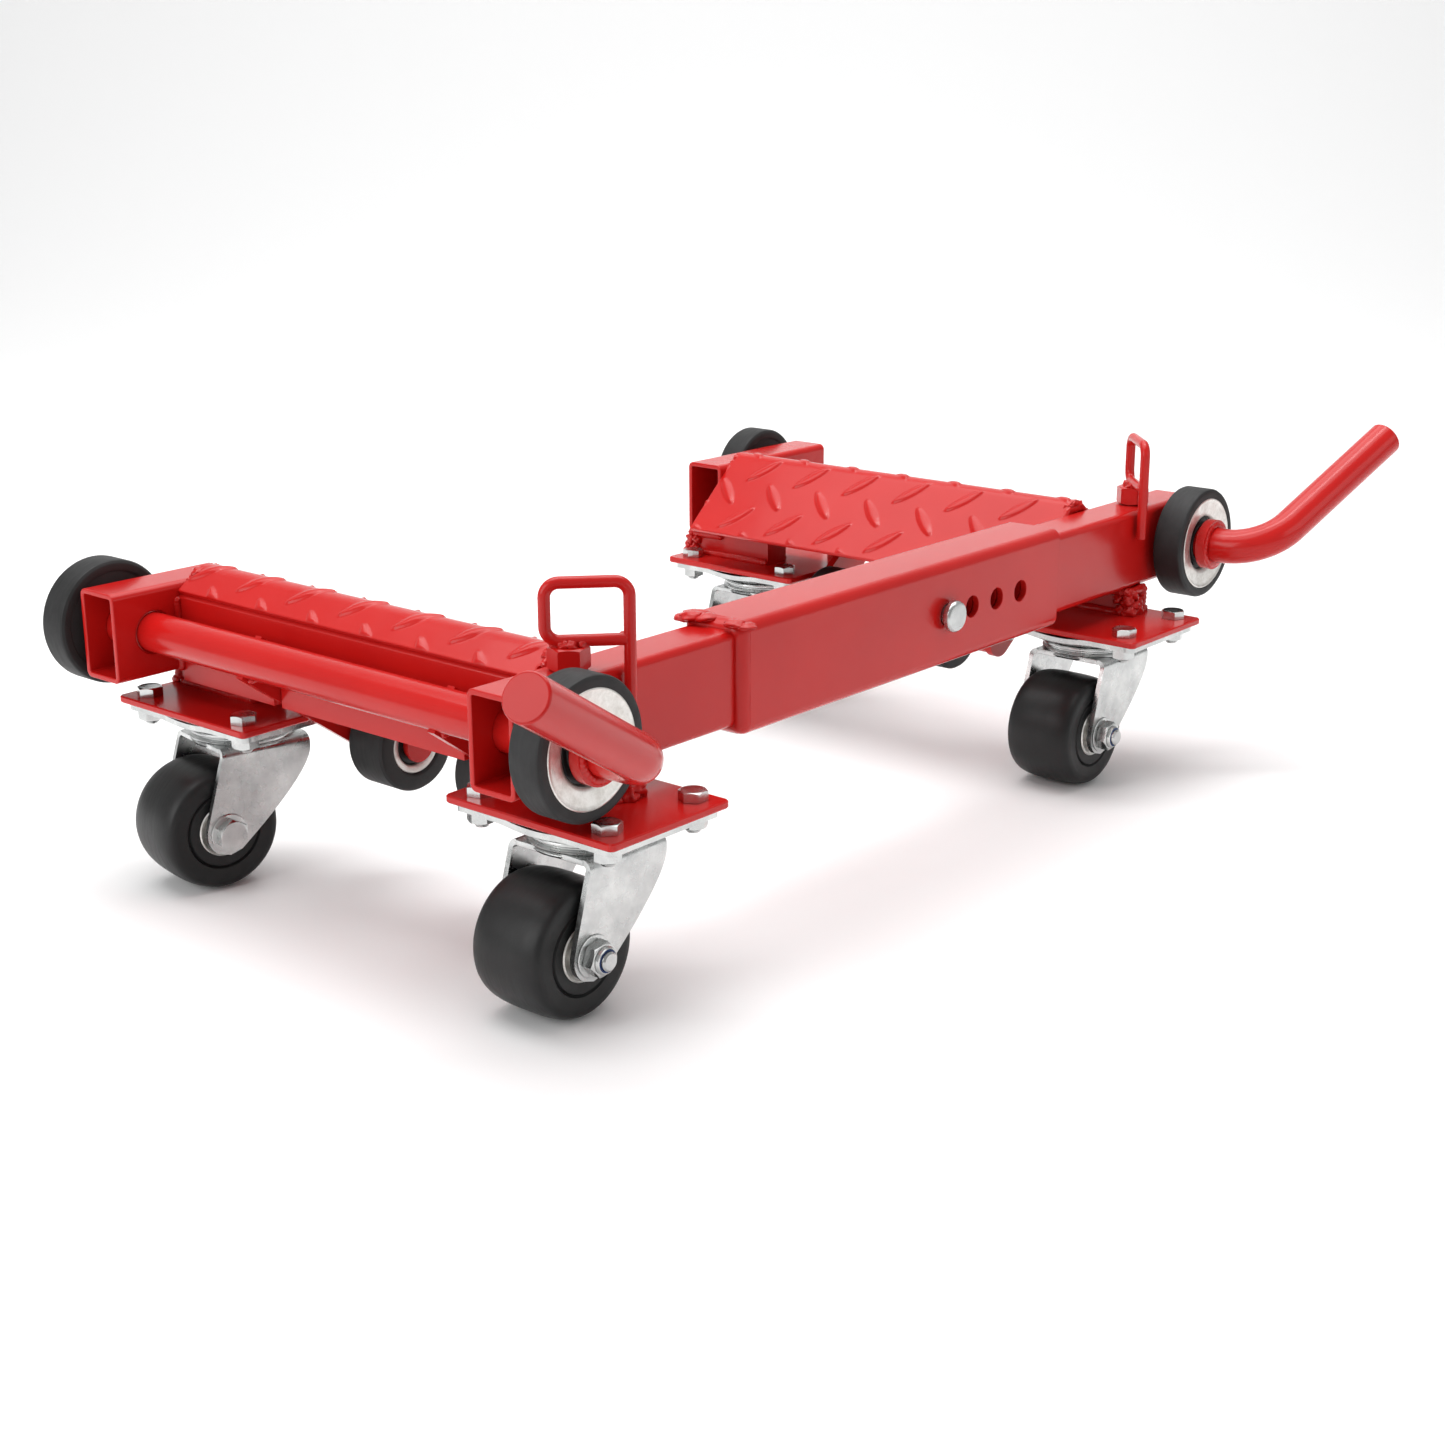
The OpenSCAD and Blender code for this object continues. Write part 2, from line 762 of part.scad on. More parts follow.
module lock_loop() {
    sink = 0.5;
    low = tube_h + lock_hex_gap + lock_hex_h + loop_rod_d / 2 - sink;
    high = low + loop_h;
    front = loop_front;
    back = -loop_back;
    r = loop_bend_r;
    loop_rod([front, tube_h - loop_leg], [front, high - r]);
    loop_bend([front - r, high - r], 0);
    loop_rod([front - r, high], [back + r, high]);
    loop_bend([back + r, high - r], 90);
    loop_rod([back, high - r], [back, low + r]);
    loop_bend([back + r, low + r], 180);
    loop_rod([back + r, low], [front, low]);
}

module lock_pin()
    color(RED)
        translate([lock_inset, tube_d / 2, 0]) {
            translate([0, 0, tube_h + lock_hex_gap])
                hexagon(lock_hex_af, lock_hex_h);
            translate([0, 0, -lock_pin_reach])
                cylinder(d = lock_pin_d, h = lock_pin_reach + tube_h + lock_hex_gap + 1);
            rotate([0, 0, -loop_turn])
                lock_loop();
        }

// ---- Casters ----

module caster_plate() {
    dish_r = race_d / 2;
    race_wall = 4;
    t = caster_plate_t;
    color(ZINC)
        difference() {
            union() {
                difference() {
                    translate([0, 0, -t])
                        linear_extrude(t)
                            rounded_rect(caster_plate_w, caster_plate_l, 6);
                    translate([0, 0, -t - HOLE_THROUGH])
                        cylinder(r = dish_r - 6, h = t + 2 * HOLE_THROUGH);
                }
                translate([0, 0, race_top]) cylinder(r = dish_r, h = t);
                difference() {
                    translate([0, 0, race_bottom]) cylinder(r = dish_r, h = race_top - race_bottom);
                    translate([0, 0, race_bottom - HOLE_THROUGH])
                        cylinder(r = dish_r - race_wall, h = race_top - race_bottom + HOLE_THROUGH);
                }
            }
            translate([0, 0, race_top - HOLE_THROUGH])
                cylinder(d = kingpin_d, h = t + 2 * HOLE_THROUGH);
            at_plate_bolts()
                translate([0, 0, -t - HOLE_THROUGH])
                    cylinder(d = bolt_d + 1, h = t + 2 * HOLE_THROUGH);
        }
}

// Riveted kingpin, with the retainer that carries the lower balls
module caster_kingpin() {
    head_t = 2;
    head_r = kingpin_d / 2 + 4;
    retainer_r = race_d / 2 - 7;
    color(ZINC) {
        translate([0, 0, -caster_plate_t]) cylinder(r = head_r, h = head_t);
        translate([0, 0, kingpin_bottom]) cylinder(d = kingpin_d, h = -caster_plate_t - kingpin_bottom);
        translate([0, 0, retainer_bottom]) cylinder(r = retainer_r, h = retainer_top - retainer_bottom);
        translate([0, 0, kingpin_bottom]) cylinder(r = head_r, h = retainer_bottom - kingpin_bottom);
    }
}

// Outline of a fork leg: straight front edge, round axle boss, swept back edge
function fork_leg_outline() =
    let (
        half = race_d / 2 - 3,
        boss = [-trail, axle_z],
        away = boss + fork_boss_r * [cos(-45), sin(-45)],
        pull = 38
    )
    concat(
        [[-half, crown_bottom + fork_t / 2]],
        arc(boss, fork_boss_r, 190, 315, 10),
        curve(away, away + pull * [1, 1], [half, crown_bottom + fork_t / 2], 10)
    );

module caster_fork() {
    half = race_d / 2 - 3;
    color(ZINC)
        difference() {
            union() {
                translate([0, 0, crown_bottom]) cylinder(r = race_d / 2 - 1, h = fork_t);
                translate([-half, -fork_outer, crown_bottom]) cube([2 * half, 2 * fork_outer, fork_t]);
                for (y = [-fork_outer, fork_inner])
                    y_extruded(y, fork_t) polygon(fork_leg_outline());
            }
            translate([0, 0, crown_bottom - HOLE_THROUGH])
                cylinder(r = kingpin_d / 2 + running_gap, h = fork_t + 2 * HOLE_THROUGH);
            translate([-trail, 0, axle_z])
                y_rod(axle_d / 2 + 0.2, -fork_outer - HOLE_THROUGH, 2 * (fork_outer + HOLE_THROUGH));
        }
}

// Bolt head on one side, nut and thread end on the other
module caster_axle_bolt(head_in_front) {
    head_h = 6.4;
    nut_h = 9;
    thread_end = 3;
    color(ZINC)
        mirror([0, head_in_front ? 1 : 0, 0])
            translate([-trail, 0, axle_z]) {
                y_rod(axle_d / 2, -fork_outer - nut_h - thread_end, 2 * fork_outer + nut_h + thread_end + 1);
                translate([0, -fork_outer, 0]) rotate([90, 0, 0]) hexagon(axle_af, nut_h);
                translate([0, fork_outer + head_h, 0]) rotate([90, 0, 0]) hexagon(axle_af, head_h);
            }
}

// Section of the tread of a caster wheel: a full crown that rounds off to the sides
function wheel_outline(bore) =
    let (
        half = wheel_w / 2,
        r = wheel_d / 2,
        drop = 6,
        power = 3,
        groove_r = 21,
        groove_w = 3,
        groove = 1.2,
        side = [
            [bore, half], [groove_r, half], [groove_r + groove_w / 2, half - groove],
            [groove_r + groove_w, half]
        ],
        crown = [for (i = [0:16])
            let (y = half * cos(180 * i / 16))
            [r - drop + drop * pow(max(0, 1 - pow(abs(y) / half, power)), 1 / power), y]]
    )
    concat(side, crown, [for (i = [3:-1:0]) [side[i][0], -side[i][1]]]);

module caster_wheel()
    color(BLACK)
        translate([-trail, 0, axle_z])
            y_turned(wheel_outline(wheel_bush_d / 2));

// Sleeve pressed into the wheel, with a flange on each side
module caster_bush() {
    flange_r = wheel_bush_d / 2 + 6;
    half = wheel_w / 2;
    bore = axle_d / 2 + running_gap;
    color(ZINC)
        translate([-trail, 0, axle_z]) {
            y_ring(wheel_bush_d / 2, bore, -half - wheel_flange_t, 2 * (half + wheel_flange_t));
            y_ring(flange_r, bore, -half - wheel_flange_t, wheel_flange_t);
            y_ring(flange_r, bore, half, wheel_flange_t);
        }
}

// ---- Nodes ----

at_side(LEFT) beam_sleeve();
at_side(LEFT) adjusting_pin();

for (i = [0:1]) {
    name = SIDES[i];
    side = i == 0 ? LEFT : RIGHT;
    at_side(side) rear_tube(side);
    at_side(side) rail(side);
    at_side(side) tread_plate(side);
    at_side(side) mount_plates(side);
    at_side(side) caster_bolts(side);
    at_side(side) shaft_bushes();
    at_side(side) shaft();
    at_side(side) handle();
    at_side(side) crank();
    at_side(side) lock_pin();
    at_side(side) roller(false);
    at_side(side) roller(true);
}
at_side(LEFT) left_beam();
at_side(RIGHT) right_beam();

for (corner = [0:3]) {
    name = CORNERS[corner];
    side = corner_side(corner);
    at_caster(corner) caster_plate();
    at_caster(corner) caster_kingpin();
    at_swivel(corner) caster_fork();
    at_swivel(corner) caster_axle_bolt(name == "rear_left");
    at_swivel(corner) caster_wheel();
    at_swivel(corner) caster_bush();
    at_side(side) at_shaft_end(corner) end_wheel_tyre();
    at_side(side) at_shaft_end(corner) end_wheel_hub();
}

// A piece drawn at the front end of a shaft, moved to its rear end for the rear corners
module at_shaft_end(corner)
    if (corner_is_rear(corner))
        at_rear_end() children();
    else
        children();
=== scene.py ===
"""Looks of the adjustable wheel dolly: red powder-coated tubes, zinc casters, black wheels."""
import math

import bmesh
import bpy
import numpy as np
from mathutils import Matrix, Vector, noise


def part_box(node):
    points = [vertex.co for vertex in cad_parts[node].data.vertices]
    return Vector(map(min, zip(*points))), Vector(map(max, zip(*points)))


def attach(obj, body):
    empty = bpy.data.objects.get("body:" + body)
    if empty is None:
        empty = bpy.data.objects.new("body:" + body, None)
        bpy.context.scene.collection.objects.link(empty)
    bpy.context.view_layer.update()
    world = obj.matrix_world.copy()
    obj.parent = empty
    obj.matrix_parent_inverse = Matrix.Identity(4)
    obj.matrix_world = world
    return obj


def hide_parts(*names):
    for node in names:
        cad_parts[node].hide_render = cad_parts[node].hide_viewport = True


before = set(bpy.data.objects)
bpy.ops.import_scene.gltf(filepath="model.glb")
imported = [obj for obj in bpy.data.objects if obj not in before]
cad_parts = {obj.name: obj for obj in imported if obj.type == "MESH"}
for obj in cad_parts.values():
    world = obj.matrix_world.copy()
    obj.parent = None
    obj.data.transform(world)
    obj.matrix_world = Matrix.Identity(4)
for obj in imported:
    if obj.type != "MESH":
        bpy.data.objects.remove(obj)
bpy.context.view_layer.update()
MM = 0.001
LEFT, RIGHT = -1, 1
SIDES = {"left": LEFT, "right": RIGHT}
ROOT = {"left": "frame", "right": "right_half"}
CORNERS = {"front_left": "left", "rear_left": "left", "front_right": "right", "rear_right": "right"}


def node_box(name):
    """A CAD node's lowest and highest corners, in millimetres."""
    low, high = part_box(name)
    return np.array(low) / MM, np.array(high) / MM


# ---- Camera: ahead and to the left of the dolly ----

LENS_MM, FILM_MM = 54.17, 36
CAMERA_PLACE = (-0.9622, -0.8114, 0.4427)
CAMERA_YAW, CAMERA_DIP, CAMERA_ROLL = math.radians(-49.54), math.radians(16.98), math.radians(-0.15)


def make_camera():
    data = bpy.data.cameras.new("camera")
    data.lens = LENS_MM
    data.sensor_width = FILM_MM
    data.clip_start = 0.05
    data.clip_end = 60
    camera = bpy.data.objects.new("camera", data)
    bpy.context.collection.objects.link(camera)
    look = Matrix.Rotation(CAMERA_YAW, 4, "Z") @ Matrix.Rotation(math.pi / 2 - CAMERA_DIP, 4, "X")
    camera.matrix_world = Matrix.Translation(CAMERA_PLACE) @ look @ Matrix.Rotation(CAMERA_ROLL, 4, "Z")
    bpy.context.scene.camera = camera


make_camera()

# ---- Materials ----


class Nodes:
    """Short calls for building a node material."""

    def __init__(self, name):
        self.material = bpy.data.materials.new(name)
        self.material.use_nodes = True
        self.tree = self.material.node_tree
        self.shader = self.tree.nodes["Principled BSDF"]
        coords = self.tree.nodes.new("ShaderNodeTexCoord")
        self.where = coords.outputs["Object"]

    def set(self, **values):
        for key, value in values.items():
            socket = key.replace("_", " ").title().replace("Ior", "IOR")
            self.shader.inputs[socket].default_value = value

    def link(self, out, to):
        self.tree.links.new(out, to)

    def noise(self, scale, detail=3.0, rough=0.55, stretch=None):
        n = self.tree.nodes.new("ShaderNodeTexNoise")
        n.inputs["Scale"].default_value = scale
        n.inputs["Detail"].default_value = detail
        n.inputs["Roughness"].default_value = rough
        where = self.where
        if stretch:
            m = self.tree.nodes.new("ShaderNodeMapping")
            m.inputs["Scale"].default_value = stretch
            self.link(self.where, m.inputs["Vector"])
            where = m.outputs["Vector"]
        self.link(where, n.inputs["Vector"])
        return n.outputs["Fac"]

    def ramp(self, fac, low, high, start=0.3, end=0.7):
        r = self.tree.nodes.new("ShaderNodeValToRGB")
        for stop, colour, position in zip(r.color_ramp.elements, (low, high), (start, end)):
            stop.position = position
            stop.color = (*colour, 1)
        self.link(fac, r.inputs["Fac"])
        return r.outputs["Color"]

    def span(self, fac, low, high, start=0.3, end=0.7):
        m = self.tree.nodes.new("ShaderNodeMapRange")
        for key, value in (("From Min", start), ("From Max", end), ("To Min", low), ("To Max", high)):
            m.inputs[key].default_value = value
        self.link(fac, m.inputs["Value"])
        return m.outputs["Result"]

    def bump(self, *layers):
        """Each layer is (height, distance in metres, strength)."""
        last = None
        for height, distance, strength in layers:
            b = self.tree.nodes.new("ShaderNodeBump")
            b.inputs["Distance"].default_value = distance
            b.inputs["Strength"].default_value = strength
            self.link(height, b.inputs["Height"])
            if last is not None:
                self.link(last, b.inputs["Normal"])
            last = b.outputs["Normal"]
        self.link(last, self.shader.inputs["Normal"])


def red_paint(name, orange_peel=0.12):
    n = Nodes(name)
    n.set(metallic=0.0, coat_weight=0.16, coat_roughness=0.05, coat_ior=1.4, ior=1.34)
    tone = n.noise(14, 4)
    n.link(n.ramp(tone, (0.47, 0.008, 0.007), (0.52, 0.011, 0.009)), n.shader.inputs["Base Color"])
    n.link(n.span(n.noise(60, 4), 0.20, 0.26), n.shader.inputs["Roughness"])
    n.bump((n.noise(520, 2), 0.0002, orange_peel), (n.noise(90, 3), 0.0006, 0.05))
    return n.material


def zinc(name, low=0.20, high=0.36):
    n = Nodes(name)
    n.set(metallic=1.0)
    tone = n.noise(55, 6, 0.65)
    n.link(n.ramp(tone, (0.44, 0.45, 0.45), (0.66, 0.67, 0.66)), n.shader.inputs["Base Color"])
    n.link(n.span(n.noise(120, 5), low, high), n.shader.inputs["Roughness"])
    n.bump((n.noise(260, 4), 0.0003, 0.10), (n.noise(45, 3), 0.0008, 0.10))
    return n.material


def bright_steel(name):
    n = Nodes(name)
    n.set(metallic=0.9)
    tone = n.noise(150, 8, 0.75)
    colour = n.ramp(tone, (0.50, 0.48, 0.44), (0.80, 0.79, 0.76), 0.25, 0.6)
    n.link(colour, n.shader.inputs["Base Color"])
    n.link(n.span(n.noise(220, 5), 0.30, 0.48), n.shader.inputs["Roughness"])
    n.bump((n.noise(500, 4), 0.0002, 0.14))
    return n.material


def rubber(name, base, rough, tint=None):
    """Black rubber or nylon. base is its grey, unless it has a tint of its own."""
    n = Nodes(name)
    n.set(metallic=0.0, ior=1.36)
    if tint:
        n.set(base_color=(*tint, 1))
    else:
        tone = n.noise(40, 5, 0.6)
        colour = n.ramp(tone, (base * 0.75,) * 3, (base * 1.5, base * 1.5, base * 1.55))
        n.link(colour, n.shader.inputs["Base Color"])
    n.link(n.span(n.noise(90, 5, 0.6, (1, 7, 1)), *rough), n.shader.inputs["Roughness"])
    n.bump((n.noise(900, 3), 0.0001, 0.16), (n.noise(60, 4, 0.6, (1, 5, 1)), 0.0003, 0.10))
    return n.material


RED = red_paint("red_powder_coat")
WELD = red_paint("red_weld", 0.20)
ZINC = zinc("zinc_plate")
BOLT = zinc("zinc_bolt", 0.16, 0.30)
STEEL = bright_steel("bright_steel")
TYRE = rubber("end_wheel_rubber", 0.018, (0.50, 0.64))
WHEEL = rubber("caster_wheel_rubber", 0.011, (0.34, 0.48))
NYLON = rubber("black_nylon", 0.012, (0.30, 0.42))
BLUE = rubber("blue_nylon", 0.02, (0.4, 0.5), (0.02, 0.05, 0.16))

# ---- Building pieces ----


class Shape:
    """Vertices in millimetres and faces, gathered before they become one mesh."""

    def __init__(self):
        self.verts = []
        self.faces = []

    def add(self, verts, faces, matrix=None):
        base = len(self.verts)
        for v in verts:
            v = Vector(v)
            self.verts.append(matrix @ v if matrix else v)
        self.faces += [[base + i for i in f] for f in faces]
        return self

    def join(self, other, matrix=None):
        return self.add(other.verts, other.faces, matrix)

    def moved(self, matrix):
        return Shape().join(self, matrix)


def clean_mesh(name, shape):
    """A mesh in metres, with doubled vertices merged and its faces turned outward."""
    mesh = bpy.data.meshes.new(name)
    mesh.from_pydata([tuple(v * MM) for v in shape.verts], [], shape.faces)
    bm = bmesh.new()
    bm.from_mesh(mesh)
    bmesh.ops.remove_doubles(bm, verts=bm.verts, dist=1e-6)
    bmesh.ops.recalc_face_normals(bm, faces=bm.faces)
    bm.to_mesh(mesh)
    bm.free()
    return mesh


def piece(name, shape, material, body, replaces=(), smooth=40):
    """One visible piece on a body, shaded smooth across edges below the given angle."""
    mesh = clean_mesh(name, shape)
    obj = bpy.data.objects.new(name, mesh)
    bpy.context.collection.objects.link(obj)
    mesh.materials.append(material)
    for p in mesh.polygons:
        p.use_smooth = True
    finish(obj, 0, smooth)
    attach(obj, body)
    if replaces:
        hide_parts(*replaces)
    return obj


def round_edges(obj, width, angle):
    b = obj.modifiers.new("bevel", "BEVEL")
    b.width = width * MM
    b.segments = 2
    b.limit_method = "ANGLE"
    b.angle_limit = math.radians(angle)
    b.use_clamp_overlap = True


def finish(obj, bevel, smooth):
    """Rounds the edges, and shades smooth only across gentle ones."""
    if bevel:
        round_edges(obj, bevel, 32)
    obj.data.set_sharp_from_angle(angle=math.radians(smooth))
    w = obj.modifiers.new("normals", "WEIGHTED_NORMAL")
    w.keep_sharp = True


def dress(node, material, bevel):
    """A CAD node that stays: a better material and, unless bevel is 0, rounded edges."""
    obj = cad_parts[node]
    for s in obj.material_slots:
        s.material = material
    if not bevel:
        return
    weld = obj.modifiers.new("weld", "WELD")
    weld.merge_threshold = 0.00002
    round_edges(obj, bevel, 38)
    w = obj.modifiers.new("normals", "WEIGHTED_NORMAL")
    w.keep_sharp = False


# ---- Places, read from the CAD frame ----

BEAM_LOW, BEAM_HIGH = node_box("left_beam")
HALF_W = -BEAM_LOW[0]
FRONT_Y = BEAM_LOW[1]
BEAM_Z = BEAM_LOW[2]
TUBE_D = BEAM_HIGH[1] - BEAM_LOW[1]
TUBE_H = BEAM_HIGH[2] - BEAM_LOW[2]
ARM_D = node_box("left_rear_tube")[1][1] - FRONT_Y
AXIS_Z = TUBE_H / 2
# Side coordinates: x inboard from the open tube ends, y back from the front face, z up from the tubes
SHAFT_X = 25
SHAFT_D = 22
RAIL_X, RAIL_T = 42, 4
# The right arm sits further inboard
SHIFT = {"left": 0, "right": 35}


def side_matrix(side):
    """Side coordinates to the dolly's frame, in millimetres."""
    s = SIDES[side]
    return Matrix.Translation((s * HALF_W, FRONT_Y, BEAM_Z)) @ Matrix.Diagonal((-s, 1, 1, 1))


def at(x, y, z):
    return Matrix.Translation((x, y, z))


def turn(degrees, axis):
    return Matrix.Rotation(math.radians(degrees), 4, axis)


FLIP_Y = Matrix.Diagonal((1, -1, 1, 1))

# ---- Basic shapes ----


def band_faces(rows, n):
    """Quads between rows of n points, where each row is a closed ring."""
    faces = []
    for i in range(rows - 1):
        for j in range(n):
            k = (j + 1) % n
            faces.append((i * n + j, i * n + k, (i + 1) * n + k, (i + 1) * n + j))
    return faces


def cap_faces(rows, n):
    return [tuple(range(n)), tuple(range((rows - 1) * n, rows * n))]


def rim_drop(distance, edge):
    """How far a rounded rim falls, at a distance from its end."""
    return edge - math.sqrt(max(edge ** 2 - (edge - min(distance, edge)) ** 2, 0))


def lathe(profile, n=96, closed=True):
    """Turns [radius, y] points about the Y axis."""
    k = len(profile)
    verts = []
    for j in range(n):
        a = 2 * math.pi * j / n
        for r, y in profile:
            verts.append((r * math.cos(a), y, r * math.sin(a)))
    faces = []
    for j in range(n):
        b = (j + 1) % n
        for i in range(k if closed else k - 1):
            m = (i + 1) % k
            faces.append((j * k + i, j * k + m, b * k + m, b * k + i))
    return Shape().add(verts, faces)


def lathe_z(profile, n=96, closed=True):
    """Turns [radius, z] points about the Z axis."""
    return lathe(profile, n, closed).moved(turn(90, "X"))


def slab(outline, low, high, edge=0.5):
    """A flat convex outline in X and Y, solid from low to high, with its rims chamfered."""
    n = len(outline)
    centre = sum((Vector(p) for p in outline), Vector((0, 0))) / n
    rims = [(low, edge), (low + edge, 0), (high - edge, 0), (high, edge)]
    verts = []
    for z, inset in rims:
        for i, p in enumerate(outline):
            p = Vector(p)
            a = (Vector(outline[i - 1]) - p).normalized()
            b = (Vector(outline[(i + 1) % n]) - p).normalized()
            normal = Vector((a.y - b.y, b.x - a.x))
            if normal.length < 1e-9:
                normal = Vector((-a.y, a.x))
            normal.normalize()
            if normal.dot(centre - p) < 0:
                normal = -normal
            verts.append((p.x + normal.x * inset, p.y + normal.y * inset, z))
    return Shape().add(verts, cap_faces(len(rims), n) + band_faces(len(rims), n))


def sweep(path, radius, n=24, edge=0.0):
    """A rod along a path. radius is a number, or a function of (distance, angle, point)."""
    pts = [Vector(p) for p in path]
    tangents = []
    for i in range(len(pts)):
        a = pts[max(i - 1, 0)]
        b = pts[min(i + 1, len(pts) - 1)]
        tangents.append((b - a).normalized())
    up = Vector((0, 0, 1)) if abs(tangents[0].z) < 0.9 else Vector((1, 0, 0))
    side = tangents[0].cross(up).normalized()
    verts, rings, dist = [], [], 0.0
    for i, p in enumerate(pts):
        t = tangents[i]
        side = (side - t * side.dot(t)).normalized()
        over = side.cross(t).normalized()
        if i:
            dist += (p - pts[i - 1]).length
        rings.append((p, side.copy(), over, dist))
    total = dist
    for p, sd, ov, d in rings:
        for j in range(n):
            a = 2 * math.pi * j / n
            r = radius(d, a, p) if callable(radius) else radius
            if edge and (d < edge or total - d < edge):
                r -= rim_drop(min(d, total - d), edge)
            verts.append(p + sd * (r * math.cos(a)) + ov * (r * math.sin(a)))
    return Shape().add(verts, band_faces(len(pts), n) + cap_faces(len(pts), n))


def resample(points, step):
    """Points at even steps along a broken line, with its own corners kept."""
    out = [Vector(points[0])]
    for a, b in zip(points, points[1:]):
        a, b = Vector(a), Vector(b)
        k = max(1, round((b - a).length / step))
        out += [a + (b - a) * i / k for i in range(1, k + 1)]
    return out


def arc3(centre, a_dir, b_dir, radius, start, end, steps):
    """An arc from start to end, in degrees from a_dir toward b_dir."""
    centre, a_dir, b_dir = Vector(centre), Vector(a_dir), Vector(b_dir)
    out = []
    for i in range(steps + 1):
        t = math.radians(start + (end - start) * i / steps)
        out.append(centre + a_dir * radius * math.cos(t) + b_dir * radius * math.sin(t))
    return out


def ended(path, edge=1.0):
    """Adds close points at both ends of a path, for rounded rims."""
    a, b = (path[1] - path[0]).normalized(), (path[-2] - path[-1]).normalized()
    steps = (0.0, 0.15, 0.4, 0.8, 1.0)
    first = [path[0] + a * edge * t for t in steps]
    last = [path[-1] + b * edge * t for t in reversed(steps)]
    return first + path[1:-1] + last


def bead(path, radius, seed, lump=0.22):
    """A weld bead: a rod with overlapping ripples and uneven lumps."""
    pitch = radius * 0.9

    def r(d, a, p):
        c, s = math.cos(a), math.sin(a)
        ripple = 0.06 * math.cos(2 * math.pi * d / pitch + 0.6 * c)
        rough = noise.noise(Vector((p.x * 0.16 + seed, p.y * 0.16 + c, p.z * 0.16 + s)))
        fine = noise.noise(Vector((p.x * 0.6 + c * 2, p.y * 0.6 + seed, p.z * 0.6 + s * 2)))
        return radius * (1 + ripple + lump * rough + 0.10 * fine)

    pts = resample(path, 0.7)
    a, b = (pts[1] - pts[0]).normalized(), (pts[-2] - pts[-1]).normalized()
    shape = sweep([pts[0] - a * 0.01] + pts + [pts[-1] - b * 0.01], r, 14)
    for end in (pts[0], pts[-1]):
        shape.join(blob(end, radius, seed + 3))
    return shape


def blob(centre, radius, seed, lump=0.35, scale=(1, 1, 1), n=14):
    """A lumpy ball, for the ends and heaps of a weld."""
    centre = Vector(centre)
    verts = []
    for i in range(n + 1):
        lat = math.pi * (i / n - 0.5)
        for j in range(2 * n):
            lon = math.pi * j / n
            d = Vector((math.cos(lat) * math.cos(lon), math.cos(lat) * math.sin(lon), math.sin(lat)))
            r = radius * (1 + lump * noise.noise(Vector((d.x * 1.7 + seed, d.y * 1.7, d.z * 1.7)))
                          + 0.10 * noise.noise(Vector((d.x * 6 + seed, d.y * 6, d.z * 6))))
            verts.append(centre + Vector((d.x * scale[0], d.y * scale[1], d.z * scale[2])) * r)
    return Shape().add(verts, band_faces(n + 1, 2 * n))


def hex_prism(af, low, high, chamfer_low=False, chamfer_high=True, phase=0.0, dish=0.0):
    """A hexagon along Z with its corners turned off on a cone, as on a real bolt head."""
    n = 72
    rc = af / 2 * 0.96
    slope = math.tan(math.radians(28))
    rings = []

    def hexagon(a):
        b = (a % (math.pi / 3)) - math.pi / 6
        return af / 2 / math.cos(b)

    angles = [2 * math.pi * j / n for j in range(n)]
    edge = 0.35

    def ring(fn):
        rings.append([fn(a) for a in angles])

    if chamfer_low:
        ring(lambda a: (rc * 0.6, low))
        ring(lambda a: (rc, low))
        ring(lambda a: (hexagon(a) - 0.02, low + (hexagon(a) - rc) * slope))
    else:
        ring(lambda a: (rc * 0.6, low))
        ring(lambda a: (hexagon(a) - edge * 0.4, low))
        ring(lambda a: (hexagon(a) - 0.02, low + edge))
    if chamfer_high:
        ring(lambda a: (hexagon(a) - 0.02, high - (hexagon(a) - rc) * slope))
        ring(lambda a: (rc, high))
        ring(lambda a: (rc * 0.9, high))
        ring(lambda a: (rc * 0.82, high - dish))
        ring(lambda a: (rc * 0.3, high - dish))
    else:
        ring(lambda a: (hexagon(a) - 0.02, high - edge))
        ring(lambda a: (hexagon(a) - edge, high))
        ring(lambda a: (rc * 0.6, high))
    verts = []
    for row in rings:
        for (r, z), a in zip(row, angles):
            verts.append((r * math.cos(a + phase), r * math.sin(a + phase), z))
    return Shape().add(verts, band_faces(len(rings), n) + cap_faces(len(rings), n))


def z_rod(r, low, high, edge):
    profile = [
        (0, low), (r - edge, low), (r, low + edge), (r, high - edge), (r - edge, high), (0, high),
    ]
    return lathe_z(profile, 40, closed=False)


def threads(r, low, high, pitch=1.25, depth=0.35):
    """A threaded length along Z, drawn as close rings."""
    profile = [(0, low), (r - 0.8, low), (r - depth, low + 0.6)]
    z = low + 0.6
    while z < high - pitch:
        profile += [(r, z + pitch * 0.5), (r - depth, z + pitch)]
        z += pitch
    profile += [(r - depth, high), (0, high)]
    return lathe_z(profile, 32, closed=False)


# ---- Tread plates: raised grip pattern on a bent plate ----


def grip_height(s, y):
    """Height of the raised lenses. They stand crosswise by turns, on a 42 mm grid."""
    pitch, length, width, height = 42.0, 29.5, 7.0, 1.15
    best = 0.0
    for shift, lean in ((0.0, 1), (pitch / 2, -1)):
        u = (s - 7.0 - shift + pitch / 2) % pitch - pitch / 2
        v = (y - 21.0 - shift + pitch / 2) % pitch - pitch / 2
        for du in (-pitch, 0, pitch):
            for dv in (-pitch, 0, pitch):
                a, b = u + du, v + dv
                along = (a + lean * b) / math.sqrt(2)
                across = (a - lean * b) / math.sqrt(2)
                if abs(along) >= length / 2:
                    continue
                half = width / 2 * (1 - (2 * along / length) ** 2) ** 0.8
                if half > 0.05 and abs(across) < half:
                    best = max(best, height * (1 - (across / half) ** 2) ** 0.55 * min(1.0, half / 1.2))
    return best


